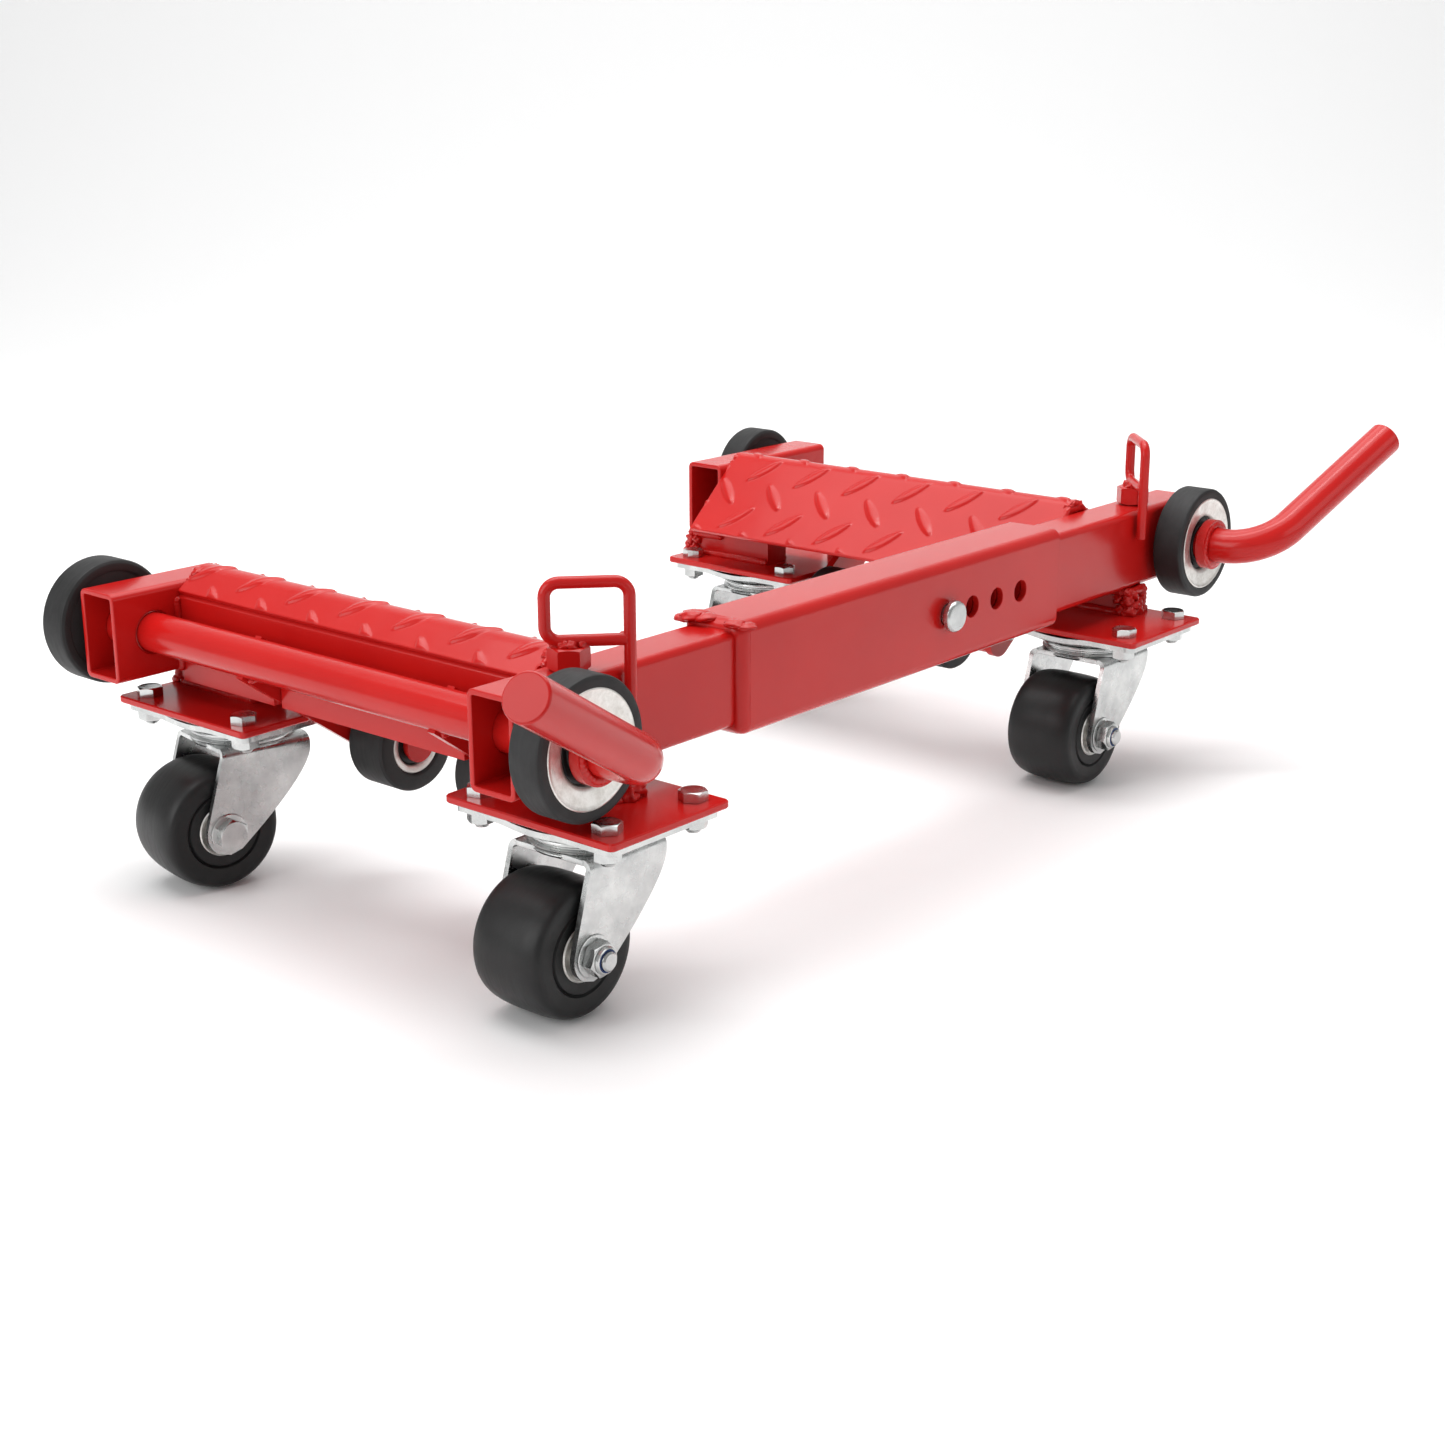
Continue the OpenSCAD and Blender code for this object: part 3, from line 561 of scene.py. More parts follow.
CREST_X, CREST_Z, CREST_R, TREAD_T = 62, 57.0, 12.0, 3.0
OUTER_L, INNER_L = 16.0, 64.0
OUTER_A, INNER_A = math.radians(36), math.radians(42)


def tread_plate(side):
    r, outer_a, inner_a, outer_l = CREST_R, OUTER_A, INNER_A, OUTER_L
    turned = r * (outer_a + inner_a)
    total = outer_l + turned + INNER_L
    centre = Vector((CREST_X + SHIFT[side], CREST_Z - r))

    def at_length(s):
        """Point and outward direction at a distance along the section from the outer lip."""
        if s <= outer_l:
            d = Vector((-math.sin(outer_a), math.cos(outer_a)))
            slope = Vector((math.cos(outer_a), math.sin(outer_a)))
            return centre + d * r - slope * (outer_l - s), d
        if s <= outer_l + turned:
            a = -outer_a + (s - outer_l) / r
            d = Vector((math.sin(a), math.cos(a)))
            return centre + d * r, d
        d = Vector((math.sin(inner_a), math.cos(inner_a)))
        slope = Vector((math.cos(inner_a), -math.sin(inner_a)))
        return centre + d * r + slope * (s - outer_l - turned), d

    low_y, high_y = TUBE_D + 0.2, ARM_D - TUBE_D - 0.2
    step = 0.9
    edge = 0.5
    middle = list(np.linspace(edge, total - edge, round(total / step)))[1:-1]
    s_at = [0.0, 0.15, edge] + middle + [total - edge, total - 0.15, total]
    y_at = list(np.linspace(low_y, high_y, round((high_y - low_y) / step)))
    verts, faces = [], []
    rows = len(s_at)
    top = rows * len(y_at)
    for upper in (True, False):
        for y in y_at:
            for s in s_at:
                p, d = at_length(s)
                near = min(s, total - s)
                drop = rim_drop(near, edge)
                if upper:
                    out = grip_height(s - outer_l - turned, y) * min(1.0, near / 1.5) - drop
                else:
                    out = drop - TREAD_T
                q = p + d * out
                verts.append((q.x, y, q.y))
    for j in range(len(y_at) - 1):
        for i in range(rows - 1):
            a = j * rows + i
            faces.append((a, a + rows, a + rows + 1, a + 1))
            faces.append((top + a, top + a + 1, top + a + rows + 1, top + a + rows))
        for i in (0, rows - 1):
            a = j * rows + i
            faces.append((a, a + rows, top + a + rows, top + a))
    for j in (0, len(y_at) - 1):
        for i in range(rows - 1):
            a = j * rows + i
            faces.append((a, a + 1, top + a + 1, top + a))
    shape = Shape().add(verts, faces).moved(side_matrix(side))
    piece(f"{side}_tread", shape, RED, ROOT[side], (f"{side}_tread_plate",), smooth=50)
    # Welds along both ends, on the outer slope and crest
    for k, (y, toward) in enumerate(((low_y, 1), (high_y, -1))):
        line = []
        for s in np.linspace(outer_l * 0.55, outer_l + turned + 12, 14):
            p, d = at_length(float(s))
            q = p - d * 2.2
            if q.y < TUBE_H + 3:
                line.append((q.x, y + 0.4 * toward, q.y))
        seam = bead(line, 2.4, 5 + k)
        for n, s in enumerate((outer_l + 2, outer_l + 8, outer_l + 13)):
            p, d = at_length(s)
            place = (p.x, y + 1.5 * toward, p.y - 2.5)
            seam.join(blob(place, 3.8 - 0.5 * n, 15 + n + k, 0.4, (1.3, 1.0, 0.8)))
        piece(f"{side}_tread_weld_{k}", seam.moved(side_matrix(side)), WELD, ROOT[side], smooth=180)


# ---- Mount plates, their bolts and the caster top plates ----

MOUNT_TOP = -16.0
MOUNT_X, MOUNT_W, MOUNT_L, MOUNT_T = 62, 84, 112, 4
MOUNT_Y = {"front": TUBE_D / 2, "rear": ARM_D + 3 - MOUNT_L / 2}
BOLT_X, BOLT_Y, BOLT_AF = 30, 42, 13
SPACER_X, SPACER_W, SPACER_L = 70, 20, 70


def rect(w, h, r, steps=5):
    pts = [(-w / 2, -h / 2), (w / 2, -h / 2), (w / 2, h / 2), (-w / 2, h / 2)]
    out = []
    for (x, y), start in zip(pts, (180, 270, 0, 90)):
        cx, cy = x - math.copysign(r, x), y - math.copysign(r, y)
        for i in range(steps + 1):
            a = math.radians(start + 90 * i / steps)
            out.append((cx + r * math.cos(a), cy + r * math.sin(a)))
    return out


def mounts(side):
    plates, welds = Shape(), Shape()
    half = SPACER_W / 2
    for end, y in MOUNT_Y.items():
        plate = slab(rect(MOUNT_W, MOUNT_L, 3.5), MOUNT_TOP - MOUNT_T, MOUNT_TOP, 0.7)
        plates.join(plate, at(MOUNT_X + SHIFT[side], y, 0))
        x = SPACER_X + (SHIFT[side] if end == "rear" else 0)
        y0, y1 = (0.0, SPACER_L) if end == "front" else (ARM_D - SPACER_L, ARM_D)
        block = [(x - half, y0), (x + half, y0), (x + half, y1), (x - half, y1)]
        plates.join(slab(block, MOUNT_TOP - 0.3, -0.05, 0.5))
        tube = (0.0, TUBE_D) if end == "front" else (ARM_D - TUBE_D, ARM_D)
        seed = 11 + len(end) + SHIFT[side]
        face = y0 if end == "front" else y1
        out = -1 if end == "front" else 1
        low = MOUNT_TOP + 1.2
        # Along the foot of the block, up its outer end, and along the tube above
        for sx in (-1, 1):
            foot, wall = x + sx * 10.4, face + out * 0.6
            welds.join(bead([(foot, y0 + 3, low), (foot, y1 - 6, low)], 2.6, seed + sx))
            upright = [(x + sx * 9.0, wall, MOUNT_TOP + 2), (x + sx * 8.6, wall, -2)]
            welds.join(bead(upright, 3.2, seed + 2 + sx))
            along = [(foot, tube[0] + 3, -1.6), (foot, tube[1] - 3, -1.6)]
            welds.join(bead(along, 2.4, seed + 4 + sx))
        end_low = [(x - 10, face + out * 1.2, low), (x + 11, face + out * 1.2, low)]
        end_high = [(x - 9, face + out * 0.4, -2.0), (x + 10, face + out * 0.4, -2.0)]
        welds.join(bead(end_low, 3.2, seed + 7, 0.4))
        welds.join(bead(end_high, 2.6, seed + 8, 0.35))
        # Heaped weld on the block's outer end: along, out, up and radius
        heap = (
            (-7, 0.5, 4, 3.6), (-2, 1.5, 7, 3.4), (2, 3.5, 2, 4.6), (6, 2.5, 5, 4.8), (9, 1, 9, 4.2),
            (9.5, 2.8, 2.4, 4.4), (5, 1.2, 12, 3.8), (11, -3, 3, 3.6), (11, -5, 10, 3.2),
        )
        for k, (dx, dy, dz, r) in enumerate(heap):
            centre = (x + dx, face + out * dy, MOUNT_TOP + dz)
            welds.join(blob(centre, r, seed + 10 + k, 0.55))
    m, body = side_matrix(side), ROOT[side]
    piece(f"{side}_mounts", plates.moved(m), RED, body, (f"{side}_mount_plates",), smooth=35)
    piece(f"{side}_mount_welds", welds.moved(m), WELD, body, smooth=180)
    bolts = Shape()
    k = 0
    for end, y in MOUNT_Y.items():
        for dx in (-BOLT_X, BOLT_X):
            for dy in (-BOLT_Y, BOLT_Y):
                k += 1
                place = at(MOUNT_X + SHIFT[side] + dx, y + dy, MOUNT_TOP)
                phase = 0.37 * k
                bolts.join(hex_prism(BOLT_AF, 0.02, 5.3, phase=phase, dish=0.25), place)
                bolts.join(hex_prism(BOLT_AF, -13.6, -7.05, True, True, phase + 0.4), place)
                bolts.join(threads(4, -16, -7.2), place)
    piece(f"{side}_bolts", bolts.moved(m), BOLT, body, (f"{side}_caster_bolts",), smooth=30)


# ---- Casters ----

# The axle stands behind and below the swivel axis, at the caster plate's top face
AXLE_X, AXLE_Z = -26, -63
LEG_IN, LEG_T = 24.5, 3.0
LEG_OUT = LEG_IN + LEG_T


def caster_place(corner):
    """Caster coordinates: about the swivel axis, z up from the plate's top face."""
    low, high = node_box(f"{corner}_caster_kingpin")
    return at((low[0] + high[0]) / 2, (low[1] + high[1]) / 2, node_box(f"{corner}_caster_plate")[1][2])


def smoothstep(a, b, x):
    t = min(max((x - a) / (b - a), 0), 1)
    return t * t * (3 - 2 * t)


def top_plate():
    """A stamped plate: flat corners and a pressed middle, so its long edges dip."""
    w, l, t, r = 78.0, 106.0, 4.2, 6.0
    nx, ny = 36, 48
    verts, faces = [], []
    for layer in (0, 1):
        for j in range(ny + 1):
            for i in range(nx + 1):
                x, y = -w / 2 + w * i / nx, -l / 2 + l * j / ny
                cx, cy = abs(x) - (w / 2 - r), abs(y) - (l / 2 - r)
                if cx > 0 and cy > 0:
                    k = max(cx, cy) / math.hypot(cx, cy)
                    x = math.copysign(w / 2 - r + cx * k, x)
                    y = math.copysign(l / 2 - r + cy * k, y)
                rho = math.hypot(x, y * 0.94)
                press = 2.9 * (1 - smoothstep(34, 45, rho))
                rim = min(w / 2 - abs(x), l / 2 - abs(y))
                ease = 0.5 * (1 - min(rim / 0.9, 1)) ** 2
                z = -press - ease - 0.05 if layer == 0 else -t - press * 0.98 + ease
                verts.append((x, y, z))
    top = (nx + 1) * (ny + 1)
    for j in range(ny):
        for i in range(nx):
            a = j * (nx + 1) + i
            faces.append((a, a + 1, a + nx + 2, a + nx + 1))
            faces.append((top + a, top + a + nx + 1, top + a + nx + 2, top + a + 1))
    for i in range(nx):
        for j in (0, ny):
            a = j * (nx + 1) + i
            faces.append((a, a + 1, top + a + 1, top + a))
    for j in range(ny):
        for i in (0, nx):
            a = j * (nx + 1) + i
            faces.append((a, a + nx + 1, top + a + nx + 1, top + a))
    s = Shape().add(verts, faces)
    # Upper race, with a rolled lip
    race = [
        (22, -5.6), (28.4, -5.6), (29.6, -6.3), (30, -7.4), (29.8, -8.5),
        (29.0, -9.0), (27.4, -9.0), (26.6, -8.2), (26.2, -7.2), (22, -7.0),
    ]
    return s.join(lathe_z(race))


def fork_shape():
    """One bent strip: round crown, rolled shoulders and two swept legs."""
    top, half, bend, boss = -15.5, 27.0, 5.0, 13.0
    axle = Vector((AXLE_X, AXLE_Z))
    s = Shape()
    # Leg outline in X and Z, front edge then back edge, from the crown down
    rows = []
    crown_z = top - bend
    n = 26
    low = axle.y - boss
    # The back edge is a curve from the boss to the shoulder, pulled backward
    lean = math.radians(-45)
    away = axle + boss * Vector((math.cos(lean), math.sin(lean)))
    shoulder, pull = Vector((half - 0.4, crown_z)), Vector((31.0, -34.0))
    swept = np.array([
        away * (1 - k) ** 2 + pull * 2 * k * (1 - k) + shoulder * k * k
        for k in (i / 24 for i in range(25))
    ])
    for i in range(n + 1):
        z = crown_z + (low - crown_z) * i / n
        if z > axle.y + 2:
            u = (crown_z - z) / (crown_z - (axle.y + 2))
            front = -half + (axle.x - boss + half) * u
        else:
            front = axle.x - math.sqrt(max(boss ** 2 - (z - axle.y) ** 2, 0))
        if z > axle.y + boss * math.sin(lean):
            back = float(np.interp(z, swept[:, 1], swept[:, 0]))
        else:
            back = axle.x + math.sqrt(max(boss ** 2 - (z - axle.y) ** 2, 0))
        rows.append((z, front, back))
    m = 14
    for sign in (-1, 1):
        verts, faces = [], []
        # Shoulder from the crown, then down the leg
        strip = []
        for i in range(7):
            a = math.radians(90 * i / 6)
            z = top - bend + bend * math.cos(a)
            y = LEG_OUT - bend + bend * math.sin(a)
            reach = half - 0.6 * math.cos(a)
            strip.append((y, z, -reach, reach, math.sin(a), math.cos(a)))
        for z, front, back in rows[1:]:
            strip.append((LEG_OUT, z, front, back, 1.0, 0.0))
        for y, z, front, back, out_y, out_z in strip:
            for i in range(m + 1):
                u = i / m
                x = front + (back - front) * u
                verts.append((x, sign * y, z))
                verts.append((x, sign * (y - LEG_T * out_y), z - LEG_T * out_z))
        w = 2 * (m + 1)
        for j in range(len(strip) - 1):
            for i in range(m):
                a = j * w + 2 * i
                faces.append((a, a + 2, a + w + 2, a + w))
                faces.append((a + 1, a + w + 1, a + w + 3, a + 3))
            for i in (0, m):
                a = j * w + 2 * i
                faces.append((a, a + 1, a + w + 1, a + w))
        for j in (0, len(strip) - 1):
            for i in range(m):
                a = j * w + 2 * i
                faces.append((a, a + 1, a + 3, a + 2))
        s.add(verts, faces)
        # Seat ring round the axle hole
        seat = [(5.2, 0), (10.5, 0), (10.9, 0.4), (10.3, 0.9), (5.2, 0.9)]
        place = at(AXLE_X, sign * LEG_OUT, AXLE_Z)
        s.join(lathe(seat, 48), place if sign > 0 else place @ FLIP_Y)
    crown = [
        (5.15, top), (25.5, top), (26.6, top), (28.2, top - 0.5),
        (28.9, top - 1.5), (28.2, top - 2.6), (26.5, top - LEG_T), (5.15, top - LEG_T),
    ]
    s.join(lathe_z(crown))
    # Lower race, with the groove that the balls run in
    race = [
        (20, -9.5), (28.2, -9.5), (29.2, -10.2), (29.4, -11.4), (28.8, -12.2), (27.6, -12.6),
        (27.6, -13.2), (28.8, -13.5), (29.6, -14.3), (29.4, -15.3), (28.6, -15.8), (20, -15.8),
    ]
    s.join(lathe_z(race))
    web = rect(2 * half, 2 * (LEG_OUT - bend), 1.0)
    return s.join(slab(web, top - LEG_T, top - 0.05, 0.3))


def axle_bolt_shape(flip):
    """Nyloc nut in front, bolt head behind, or the other way about when flipped."""
    outer = LEG_OUT + 0.9
    rod_r = 4.9
    steel, ring = Shape(), Shape()
    to_front = at(AXLE_X, -outer, AXLE_Z) @ turn(90, "X")
    steel.join(hex_prism(16, 0.05, 6.6, True, True, 0.2), to_front)
    collar = [
        (0, 6.2), (6.9, 6.2), (7.1, 7.4), (6.6, 8.3), (5.9, 8.6), (5.6, 8.2), (5.4, 7.6), (0, 7.6),
    ]
    steel.join(lathe_z(collar, 56, False), to_front)
    steel.join(z_rod(rod_r, 6.0, 10.6, 0.9), to_front)
    blue = [(4.95, 7.5), (5.75, 7.5), (5.7, 8.45), (5.3, 8.7), (4.95, 8.5)]
    ring.join(lathe_z(blue, 56), to_front)
    to_back = at(AXLE_X, outer, AXLE_Z) @ turn(-90, "X")
    steel.join(hex_prism(16, 0.05, 5.5, False, True, 0.5, 0.2), to_back)
    steel.join(z_rod(rod_r, -1, 1, 0.2), to_back)
    half = outer + 1
    rod = lathe([(0, -half), (rod_r, -half), (rod_r, half), (0, half)], 40, False)
    steel.join(rod, at(AXLE_X, 0, AXLE_Z))
    if flip:
        return steel.moved(FLIP_Y), ring.moved(FLIP_Y)
    return steel, ring


def both_faces(profile):
    """A face's outline, and its mirror image on the wheel's other side."""
    return profile + [(x, -y) for x, y in reversed(profile)]


def caster_wheel_shape():
    """A moulded wheel with a crowned tread and grooved sides, and steel cups at its hub."""
    half, r, drop = 22.5, 35.0, 6.0
    groove = [
        (14.3, 21.0), (15.0, 21.7), (20.3, 22.0), (20.7, 21.2),
        (21.2, 20.7), (21.8, 21.2), (22.2, 22.0), (28.0, 22.5),
    ]
    crown = []
    for i in range(25):
        y = half * math.cos(math.pi * i / 24)
        crown.append((r - drop + drop * max(0.0, 1 - (abs(y) / half) ** 3) ** (1 / 3), y))
    far_side = [(x, -y) for x, y in reversed(groove)]
    wheel = lathe(groove + crown + far_side + [(8, -21.2), (8, 21.2)], 128)
    cup = [
        (8.0, 20.6), (8.8, 21.3), (12.4, 21.5), (13.4, 22.0),
        (14.2, 22.3), (14.8, 21.7), (14.8, 18.6), (8.0, 18.4),
    ]
    boss = [(5.1, 17), (8.6, 17), (8.8, 23.4), (8.3, 24.0), (5.1, 24.0)]
    steel = Shape()
    for sign in (-1, 1):
        for face in (cup, boss):
            steel.join(lathe([(x, y * sign) for x, y in face], 72))
    return wheel, steel


def casters():
    plate = top_plate()
    fork = fork_shape()
    tyre, cup = caster_wheel_shape()
    for corner, side in CORNERS.items():
        turned = corner == "rear_left"
        place = caster_place(corner)
        swung = place @ turn(-10, "Z") if turned else place
        swivel, wheel = f"{corner}_swivel", f"{corner}_wheel"
        cad = f"{corner}_caster"
        piece(f"{corner}_top_plate", plate.moved(place), ZINC, ROOT[side], (f"{cad}_plate",), smooth=50)
        piece(f"{corner}_fork", fork.moved(swung), ZINC, swivel, (f"{cad}_fork",), smooth=50)
        steel, ring = axle_bolt_shape(turned)
        bolt = steel.moved(swung)
        piece(f"{corner}_axle_bolt", bolt, BOLT, swivel, (f"{cad}_axle_bolt",), smooth=32)
        piece(f"{corner}_nut_ring", ring.moved(swung), BLUE, swivel, smooth=50)
        hub = swung @ at(AXLE_X, 0, AXLE_Z)
        piece(f"{corner}_wheel_rubber", tyre.moved(hub), WHEEL, wheel, (f"{cad}_wheel",), smooth=40)
        piece(f"{corner}_wheel_cup", cup.moved(hub), STEEL, wheel, (f"{cad}_bush",), smooth=40)


# ---- End wheels and rollers ----


def middle_of(node):
    low, high = node_box(node)
    return at(*[(a + b) / 2 for a, b in zip(low, high)])


def end_wheels():
    half = 10.0
    tyre = both_faces([
        (28.7, -half + 0.4), (29.6, -half), (32.6, -half),
        (33.3, -half + 0.25), (34.4, -half + 1.0), (35, -half + 2.2),
    ])
    hub_face = [
        (16.8, 0.0), (16.8, 3.2), (17.2, 6.6), (18.2, 8.0), (20.0, 8.8), (26.2, 9.3),
        (27.6, 9.7), (28.3, 10.0), (28.9, 9.8), (29.0, 9.2), (29.0, 0.0),
    ]
    back_face = [
        (16.6, -0.2), (13.0, -0.2), (13.0, -8.4), (14.0, -9.0),
        (27.6, -9.3), (28.9, -8.9), (28.9, -0.2),
    ]
    bush = both_faces([(11.1, 6.6), (12.6, 6.8), (13.0, 6.2), (15.2, 6.1), (15.6, 5.5), (16.9, 5.3)])
    for corner in CORNERS:
        body = f"{corner}_end_wheel"
        place = middle_of(f"{body}_tyre")
        rim = lathe(tyre, 144).moved(place)
        piece(f"{corner}_end_tyre", rim, TYRE, body, (f"{body}_tyre",), smooth=28)
        out = -1 if corner.startswith("front") else 1
        hub, back = [(x, y * out) for x, y in hub_face], [(x, y * out) for x, y in back_face]
        disc = lathe(hub, 144).moved(place)
        piece(f"{corner}_end_hub", disc, STEEL, body, (f"{body}_hub",), smooth=35)
        piece(f"{corner}_end_back", lathe(back, 144).moved(place), TYRE, body, smooth=35)
        piece(f"{corner}_end_bush", lathe(bush, 96).moved(place), NYLON, body, smooth=30)


def rollers():
    half = 14.0
    tyre = both_faces([
        (16.4, -half + 1.2), (17.2, -half + 0.3), (18.0, -half),
        (24.2, -half), (25.6, -half + 0.5), (26.5, -half + 2.0),
    ])
    ring = both_faces([(11.6, 9.8), (12.2, 11.6), (13.2, 12.4), (15.9, 12.9), (16.6, 12.4)])
    bush = both_faces([(8.1, 11.2), (11.0, 11.2), (11.9, 10.2)])
    for side in SIDES:
        for end in ("front", "rear"):
            node = f"{side}_{end}_roller"
            place = middle_of(node)
            piece(f"{node}_tyre", lathe(tyre, 112).moved(place), TYRE, node, (node,), smooth=30)
            piece(f"{node}_ring", lathe(ring, 96).moved(place), STEEL, node, smooth=35)
            piece(f"{node}_bush", lathe(bush, 72).moved(place), NYLON, node, smooth=35)


# ---- Handles, lock pins and adjusting pin ----


HANDLE_CORNER, HANDLE_BEND_R, HANDLE_L = 33.0, 35.0, 127.0
HANDLE_BEND = math.radians(77)
HANDLE_RISE = 30


def handles():
    """Bent handles at the front, with a ring of weld at each end of the shaft."""
    r = SHAFT_D / 2
    tangent = HANDLE_BEND_R * math.tan(HANDLE_BEND / 2)
    root = HANDLE_CORNER - tangent
    # The welds start just outside the end wheels
    start = FRONT_Y - node_box("front_left_end_wheel_tyre")[0][1] + 0.4
    end_y = start + 6.0
    for side in SIDES:
        body = f"{side}_turning_shaft"
        path = [Vector((0, 6, 0)), Vector((0, -root, 0))]
        centre = Vector((-HANDLE_BEND_R, -root, 0))
        bend = arc3(centre, (1, 0, 0), (0, -1, 0), HANDLE_BEND_R, 0, math.degrees(HANDLE_BEND), 20)
        path += bend[1:]
        d = Vector((-math.sin(HANDLE_BEND), -math.cos(HANDLE_BEND), 0))
        foot = path[-1]
        path += [foot + d * (HANDLE_L - tangent) * k / 6 for k in range(1, 7)]
        rod = sweep(ended(path, 1.2), r, 48, edge=1.2)
        shaft = side_matrix(side)
        to_shaft = shaft @ at(SHAFT_X, -end_y, AXIS_Z) @ turn(HANDLE_RISE, "Y")
        piece(f"{side}_handle_rod", rod.moved(to_shaft), RED, body, (f"{side}_handle",), smooth=50)
        circle = []
        for k in range(25):
            a = 2 * math.pi * k / 24
            circle.append(Vector((12.6 * math.cos(a), 1.6, 12.6 * math.sin(a))))
        weld = bead(circle, 2.7, 31 + SHIFT[side], 0.3)
        for k in range(3):
            a = 2.1 * k + 0.6
            weld.join(blob((12.2 * math.cos(a), 2.2, 12.2 * math.sin(a)), 3.1, 40 + k, 0.3))
        for k, y0 in enumerate((-end_y, ARM_D + end_y)):
            flip = Matrix.Identity(4) if k == 0 else at(0, -2.6, 0) @ FLIP_Y
            ring = weld.moved(shaft @ at(SHAFT_X, y0, AXIS_Z) @ flip)
            piece(f"{side}_collar_weld_{k}", ring, WELD, body, smooth=180)


LOCK_X, LOCK_TURN, LOCK_HEX_AF, LOCK_PIN_R = 52, 43, 18, 6
LOOP_ROD_R, LOOP_H, LOOP_BEND_R = 3.0, 28, 7.0


def lock_pins():
    """A pin with a hexagon, and a bent rod loop welded on it."""
    r, b = LOOP_ROD_R, LOOP_BEND_R
    hex_low = TUBE_H + 0.5
    hex_high = hex_low + 11
    low = hex_high + r - 0.5
    high = low + LOOP_H
    front, back = 29.0, -11.0
    e, f = Vector((1, 0, 0)), Vector((0, 0, 1))
    path = [Vector((front, 0, TUBE_H - 17)), Vector((front, 0, high - b))]
    path += arc3((front - b, 0, high - b), e, f, b, 0, 90, 10)[1:]
    path += [Vector((back + b, 0, high))]
    path += arc3((back + b, 0, high - b), e, f, b, 90, 180, 10)[1:]
    path += [Vector((back, 0, low + b))]
    path += arc3((back + b, 0, low + b), e, f, b, 180, 270, 10)[1:]
    path += [Vector((front - 1.5, 0, low))]
    loop = sweep(ended(path, 0.4), r, 28, edge=0.4)
    head = hex_prism(LOCK_HEX_AF, hex_low, hex_high, True, True, 0.25)
    top = hex_low + 0.1
    stem = [(0, -8), (LOCK_PIN_R - 1, -8), (LOCK_PIN_R, -7), (LOCK_PIN_R, top), (0, top)]
    head.join(lathe_z(stem, 40, False))
    # Weld lumps on the hexagon: x, y and radius
    lumps = (
        (-4, 2.6, 3.2), (1, -2.8, 3.4), (5, 2.2, 3.0),
        (-2, -2.2, 3.0), (6.5, -1.5, 2.6), (-6.5, 0, 2.6),
    )
    weld = Shape()
    for k, (x, y, size) in enumerate(lumps):
        weld.join(blob((x, y, hex_high + 0.6), size, 51 + k, 0.4, (1.1, 1.0, 0.8)))
    weld.join(blob((front - 2.6, 0.6, low + 0.4), 3.0, 61, 0.35))
    for side in SIDES:
        body = f"{side}_lock"
        upright = side_matrix(side) @ at(LOCK_X, TUBE_D / 2, 0)
        turned = upright @ turn(-LOCK_TURN, "Z")
        piece(f"{side}_lock_loop", loop.moved(turned), RED, body, (f"{side}_lock_pin",), smooth=50)
        piece(f"{side}_lock_head", head.moved(upright), RED, body, smooth=32)
        piece(f"{side}_lock_weld", weld.moved(turned), WELD, body, smooth=180)


def adjusting_pin():
    """A domed head on a round pin with a chamfered tail."""
    low, high = node_box("adjusting_pin")
    x, z = (low[0] + high[0]) / 2, (low[2] + high[2]) / 2
    y0, y1 = low[1], high[1]
    head = [
        (0, 0), (6.4, 0.1), (8.0, 0.5), (8.8, 1.4), (9, 2.4), (9, 4.5), (8.6, 5.0), (6.4, 5.0), (6.0, 5.5),
    ]
    tail = [(6.0, 1.4), (5.0, 0.2), (4.4, 0), (0, 0)]
    profile = [(r, y0 + y) for r, y in head] + [(r, y1 - y) for r, y in tail]
    shape = lathe(profile, 72, False).moved(at(x, 0, z))
    piece("pin_bright", shape, ZINC, "pin", ("adjusting_pin",), smooth=32)


# ---- Sleeve with its weld, and the weld beads of the frame ----


def fillet(x, steps):
    """A weld between the tube and its sleeve. Steps are (along, growth of the tube's outline)."""
    verts = []
    for dx, grow in steps:
        outline = rect(TUBE_D + grow, TUBE_H + grow, 3 + grow / 4, 6)
        count = len(outline)
        for k, p in enumerate(outline):
            q = Vector(outline[(k + 1) % count])
            for t in range(8):
                m = Vector(p).lerp(q, t / 8)
                rough = 1 + 0.014 * noise.noise(Vector((dx * 0.3, m.x * 0.22, m.y * 0.22)))
                verts.append((x + dx, TUBE_D / 2 + m.x * rough, TUBE_H / 2 + m.y * rough))
    n = len(verts) // len(steps)
    return Shape().add(verts, band_faces(len(steps), n) + cap_faces(len(steps), n))


SLEEVE_T, SLEEVE_WELD_L, HOLE_R, HOLE_PITCH, HOLES = 4.0, 6, 6.4, 25, 4


